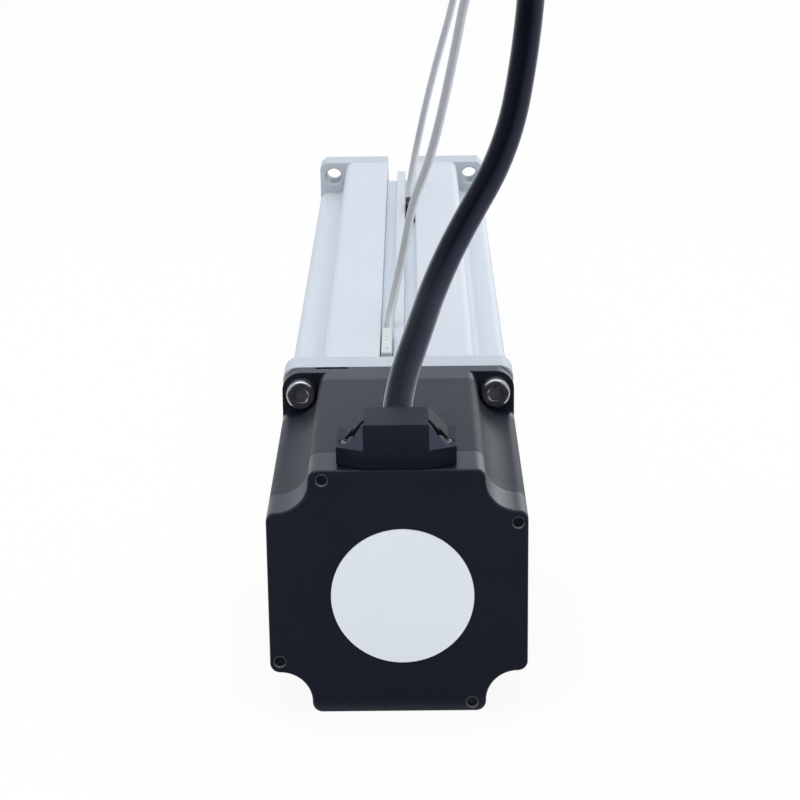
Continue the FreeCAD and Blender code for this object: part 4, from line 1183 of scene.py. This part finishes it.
class CYLINDER_OT_screws(bpy.types.Operator):
    """Socket head screws of the motor's flange and of the front flange."""

    bl_idname = "cylinder.screws"
    bl_label = "Cap screws"

    def execute(self, context):
        made = finishes()
        self.row("motor_screws", "motor_cap_screws", -1, made)
        self.row("flange_screws", "flange_cap_screws", 1, made)
        self.bare_threads(made)
        return {"FINISHED"}

    def bare_threads(self, made):
        """Unpainted mouths of the four holes in the motor's back."""
        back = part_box("motor_rear_cap")[0].y
        deep = 0.8 * MM
        flare = 0.19 * MM
        flare_wide = 1.155
        one = fresh(
            "thread_mouth",
            "cylinder",
            vertices=32,
            radius=1.235 * MM,
            depth=deep,
            end_fill_type="NOTHING",
        )
        in_edit(
            one,
            "EDGE",
            lambda e: level(e, deep / 2),
            lambda: bpy.ops.mesh.extrude_edges_move(
                TRANSFORM_OT_translate={"value": (0, 0, flare)}
            ),
        )
        in_edit(
            one,
            "EDGE",
            lambda e: level(e, deep / 2 + flare),
            lambda: bpy.ops.transform.resize(value=(flare_wide, flare_wide, 1.0)),
        )
        use(one, "SOLIDIFY", thickness=0.1 * MM, offset=-1.0)
        smooth(one)
        holes = ((-16, 26), (26, 16), (16, -26), (-26, -16))
        spots = [(x * MM, back + 0.6 * MM, z * MM) for x, z in holes]
        turn = Matrix.Rotation(math.radians(90), 4, "X")
        piece = merged("rear_thread_mouths", turned_copies(one, turn, spots))
        finish_piece(piece, "base", "screw_steel", made["thread"])

    def row(self, node, name, facing, made):
        """Four screws in the places of one node's solids."""
        low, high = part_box(node)
        x = high.x - HEAD_RADIUS
        z = high.z - HEAD_RADIUS
        face = low.y if facing < 0 else high.y
        spots = [(side * x, face, rise * z) for side in (-1, 1) for rise in (-1, 1)]
        piece = screw_pattern(name, high.y - low.y - HEAD_HEIGHT, spots, facing)
        finish_piece(piece, "base", "screw_steel", made["screw"], made["socket"], replaces=(node,))
        paint_socket_shade(piece, spots, facing)


class CYLINDER_OT_gland(bpy.types.Operator):
    """Moulded gland with soft edges, and its two screws."""

    bl_idname = "cylinder.gland"
    bl_label = "Cable gland"

    def execute(self, context):
        made = finishes()
        piece = bpy.data.objects.new("gland_body", NODES["gland_cover"].data.copy())
        context.scene.collection.objects.link(piece)
        steps = (
            lambda: bpy.ops.mesh.remove_doubles(threshold=2e-6),
            lambda: bpy.ops.mesh.dissolve_limited(angle_limit=math.radians(1.0)),
        )
        for step in steps:
            in_edit(piece, "FACE", lambda f: True, step)
        use(
            piece,
            "BEVEL",
            width=0.2 * MM,
            segments=4,
            limit_method="ANGLE",
            angle_limit=math.radians(12),
            use_clamp_overlap=True,
        )
        smooth(piece, 24.0)
        use(piece, "WEIGHTED_NORMAL", mode="FACE_AREA", weight=50, keep_sharp=True)
        finish_piece(piece, "base", "gland_black", made["gland"], replaces=("gland_cover",))
        self.screws(made)
        return {"FINISHED"}

    def screws(self, made):
        """Domed heads with cross slots in the gland's pits, and their shanks."""
        low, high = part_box("gland_screws")
        head = 1.55 * MM
        seat = high.z - 1.5 * MM
        top = high.z + 0.3 * MM
        dome = 0.8 * MM
        shank_top = high.z - 1.4 * MM
        y = (low.y + high.y) / 2
        parts = []
        for side in (-1, 1):
            x = side * (high.x - head)
            body = fresh(
                "gland_screw",
                "cylinder",
                vertices=36,
                radius=head,
                depth=top - seat,
                location=(x, y, (top + seat) / 2),
            )
            in_edit(
                body,
                "EDGE",
                lambda e: level(e, top),
                lambda: bpy.ops.mesh.bevel(offset=dome, segments=5, affect="EDGES"),
            )
            for turn in (45, 135):
                tool = fresh(
                    "cross_tool",
                    "cube",
                    size=1.0,
                    location=(x, y, top),
                    rotation=(0, 0, math.radians(turn)),
                    scale=(1.7 * MM, 0.42 * MM, 1.5 * MM),
                )
                cut_with(body, tool)
            stem = fresh(
                "gland_stem",
                "cylinder",
                vertices=20,
                radius=1.0 * MM,
                depth=shank_top - low.z,
                location=(x, y, (shank_top + low.z) / 2),
            )
            parts += [body, stem]
        piece = merged("gland_cross_screws", parts)
        smooth(piece)
        finish_piece(piece, "base", "screw_steel", made["gland_screw"], replaces=("gland_screws",))


class CYLINDER_OT_rod_end(bpy.types.Operator):
    """Threaded stud M10 at the end of the piston rod."""

    bl_idname = "cylinder.rod_end"
    bl_label = "Rod end"

    def execute(self, context):
        made = finishes()
        low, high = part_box("rod_end_stud")
        radius = 5.0 * MM
        pitch = 1.5 * MM
        start = 19.0 * MM
        chamfer = 1.1 * MM
        shank_radius = 4.24 * MM
        overlap = 0.2 * MM
        turns = int((high.y - start) / pitch) + 2
        root = radius - 0.61 * pitch
        steps = [
            (root, 0.0),
            (root, 0.06),
            (radius, 0.44),
            (radius, 0.56),
            (root, 0.94),
            (root, 1.0),
        ]
        profile = bpy.data.meshes.new("thread_profile")
        profile.from_pydata(
            [(r, start - pitch + y * pitch, 0.0) for r, y in steps],
            [(i, i + 1) for i in range(len(steps) - 1)],
            [],
        )
        thread = bpy.data.objects.new("rod_end_thread", profile)
        context.scene.collection.objects.link(thread)
        use(
            thread,
            "SCREW",
            axis="Y",
            angle=math.radians(360),
            screw_offset=pitch,
            iterations=turns,
            steps=32,
            render_steps=32,
            use_merge_vertices=True,
            merge_threshold=1e-6,
        )
        for place, way in ((start, 1), (high.y - 0.001 * MM, -1)):
            in_edit(
                thread,
                "FACE",
                lambda f: True,
                lambda: bpy.ops.mesh.bisect(
                    plane_co=(0, place, 0),
                    plane_no=(0, way, 0),
                    use_fill=True,
                    clear_inner=True,
                ),
            )
        in_edit(
            thread,
            "FACE",
            lambda f: True,
            lambda: bpy.ops.mesh.normals_make_consistent(inside=False),
        )
        length = high.y - start
        blank = fresh(
            "stud_blank",
            "cylinder",
            vertices=64,
            radius=radius,
            depth=length * 2,
        )
        in_edit(
            blank,
            "EDGE",
            lambda e: level(e, length),
            lambda: bpy.ops.mesh.bevel(offset=chamfer, segments=1, affect="EDGES"),
        )
        blank.data.transform(
            Matrix.Translation((0, high.y - length, 0)) @ Matrix.Rotation(math.radians(-90), 4, "X")
        )
        cut_with(thread, blank, "INTERSECT")
        shank = fresh(
            "stud_shank",
            "cylinder",
            vertices=40,
            radius=shank_radius,
            depth=start - low.y + overlap,
            rotation=(math.radians(90), 0, 0),
            location=(0, (start + low.y + overlap) / 2, 0),
        )
        piece = merged("rod_end_thread", [thread, shank])
        smooth(piece, 30.0)
        finish_piece(
            piece, "piston_rod", "screw_steel", made["screw"], replaces=("rod_end_stud",)
        )
        return {"FINISHED"}


class CYLINDER_OT_sensor_details(bpy.types.Operator):
    """Small slotted screw set into the far sensor's top."""

    bl_idname = "cylinder.sensor_details"
    bl_label = "Sensor details"

    def execute(self, context):
        made = finishes()
        low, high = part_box("far_sensor")
        x = (low.x + high.x) / 2
        y = low.y + 3.0 * MM
        piece = fresh(
            "far_sensor_set_screw",
            "cylinder",
            vertices=28,
            radius=0.9 * MM,
            depth=0.5 * MM,
            location=(x, y, high.z - 0.05 * MM),
        )
        slot = fresh(
            "slot_tool",
            "cube",
            size=1.0,
            location=(x, y, high.z + 0.2 * MM),
            rotation=(0, 0, math.radians(35)),
            scale=(2.4 * MM, 0.3 * MM, 0.5 * MM),
        )
        cut_with(piece, slot)
        smooth(piece)
        finish_piece(piece, "base", "screw_steel", made["gland_screw"])
        return {"FINISHED"}


PIECES = [
    CYLINDER_OT_studio,
    CYLINDER_OT_cords,
    CYLINDER_OT_finishes,
    CYLINDER_OT_screws,
    CYLINDER_OT_gland,
    CYLINDER_OT_rod_end,
    CYLINDER_OT_sensor_details,
]


class CYLINDER_PT_panel(bpy.types.Panel):
    """Lists the pieces, colours and sizes."""

    bl_idname = "CYLINDER_PT_panel"
    bl_label = "Electric cylinder"
    bl_space_type = "VIEW_3D"
    bl_region_type = "UI"
    bl_category = "Cylinder"

    def draw(self, context):
        layout = self.layout
        for group in ("cylinder_colours", "cylinder_cords", "cylinder_studio"):
            settings = getattr(context.scene, group)
            box = layout.box()
            for name in settings.__annotations__:
                box.prop(settings, name)
        for piece in PIECES:
            layout.operator(piece.bl_idname)


CLASSES = [CylinderColours, CylinderCords, CylinderStudio] + PIECES + [CYLINDER_PT_panel]


def register():
    for cls in CLASSES:
        bpy.utils.register_class(cls)
    bpy.types.Scene.cylinder_colours = PointerProperty(type=CylinderColours)
    bpy.types.Scene.cylinder_cords = PointerProperty(type=CylinderCords)
    bpy.types.Scene.cylinder_studio = PointerProperty(type=CylinderStudio)


def unregister():
    del bpy.types.Scene.cylinder_studio
    del bpy.types.Scene.cylinder_cords
    del bpy.types.Scene.cylinder_colours
    for cls in reversed(CLASSES):
        bpy.utils.unregister_class(cls)


def main():
    """Makes all pieces in order."""
    register()
    for piece in PIECES:
        group, name = piece.bl_idname.split(".")
        getattr(getattr(bpy.ops, group), name)()


if __name__ == "__main__":
    main()
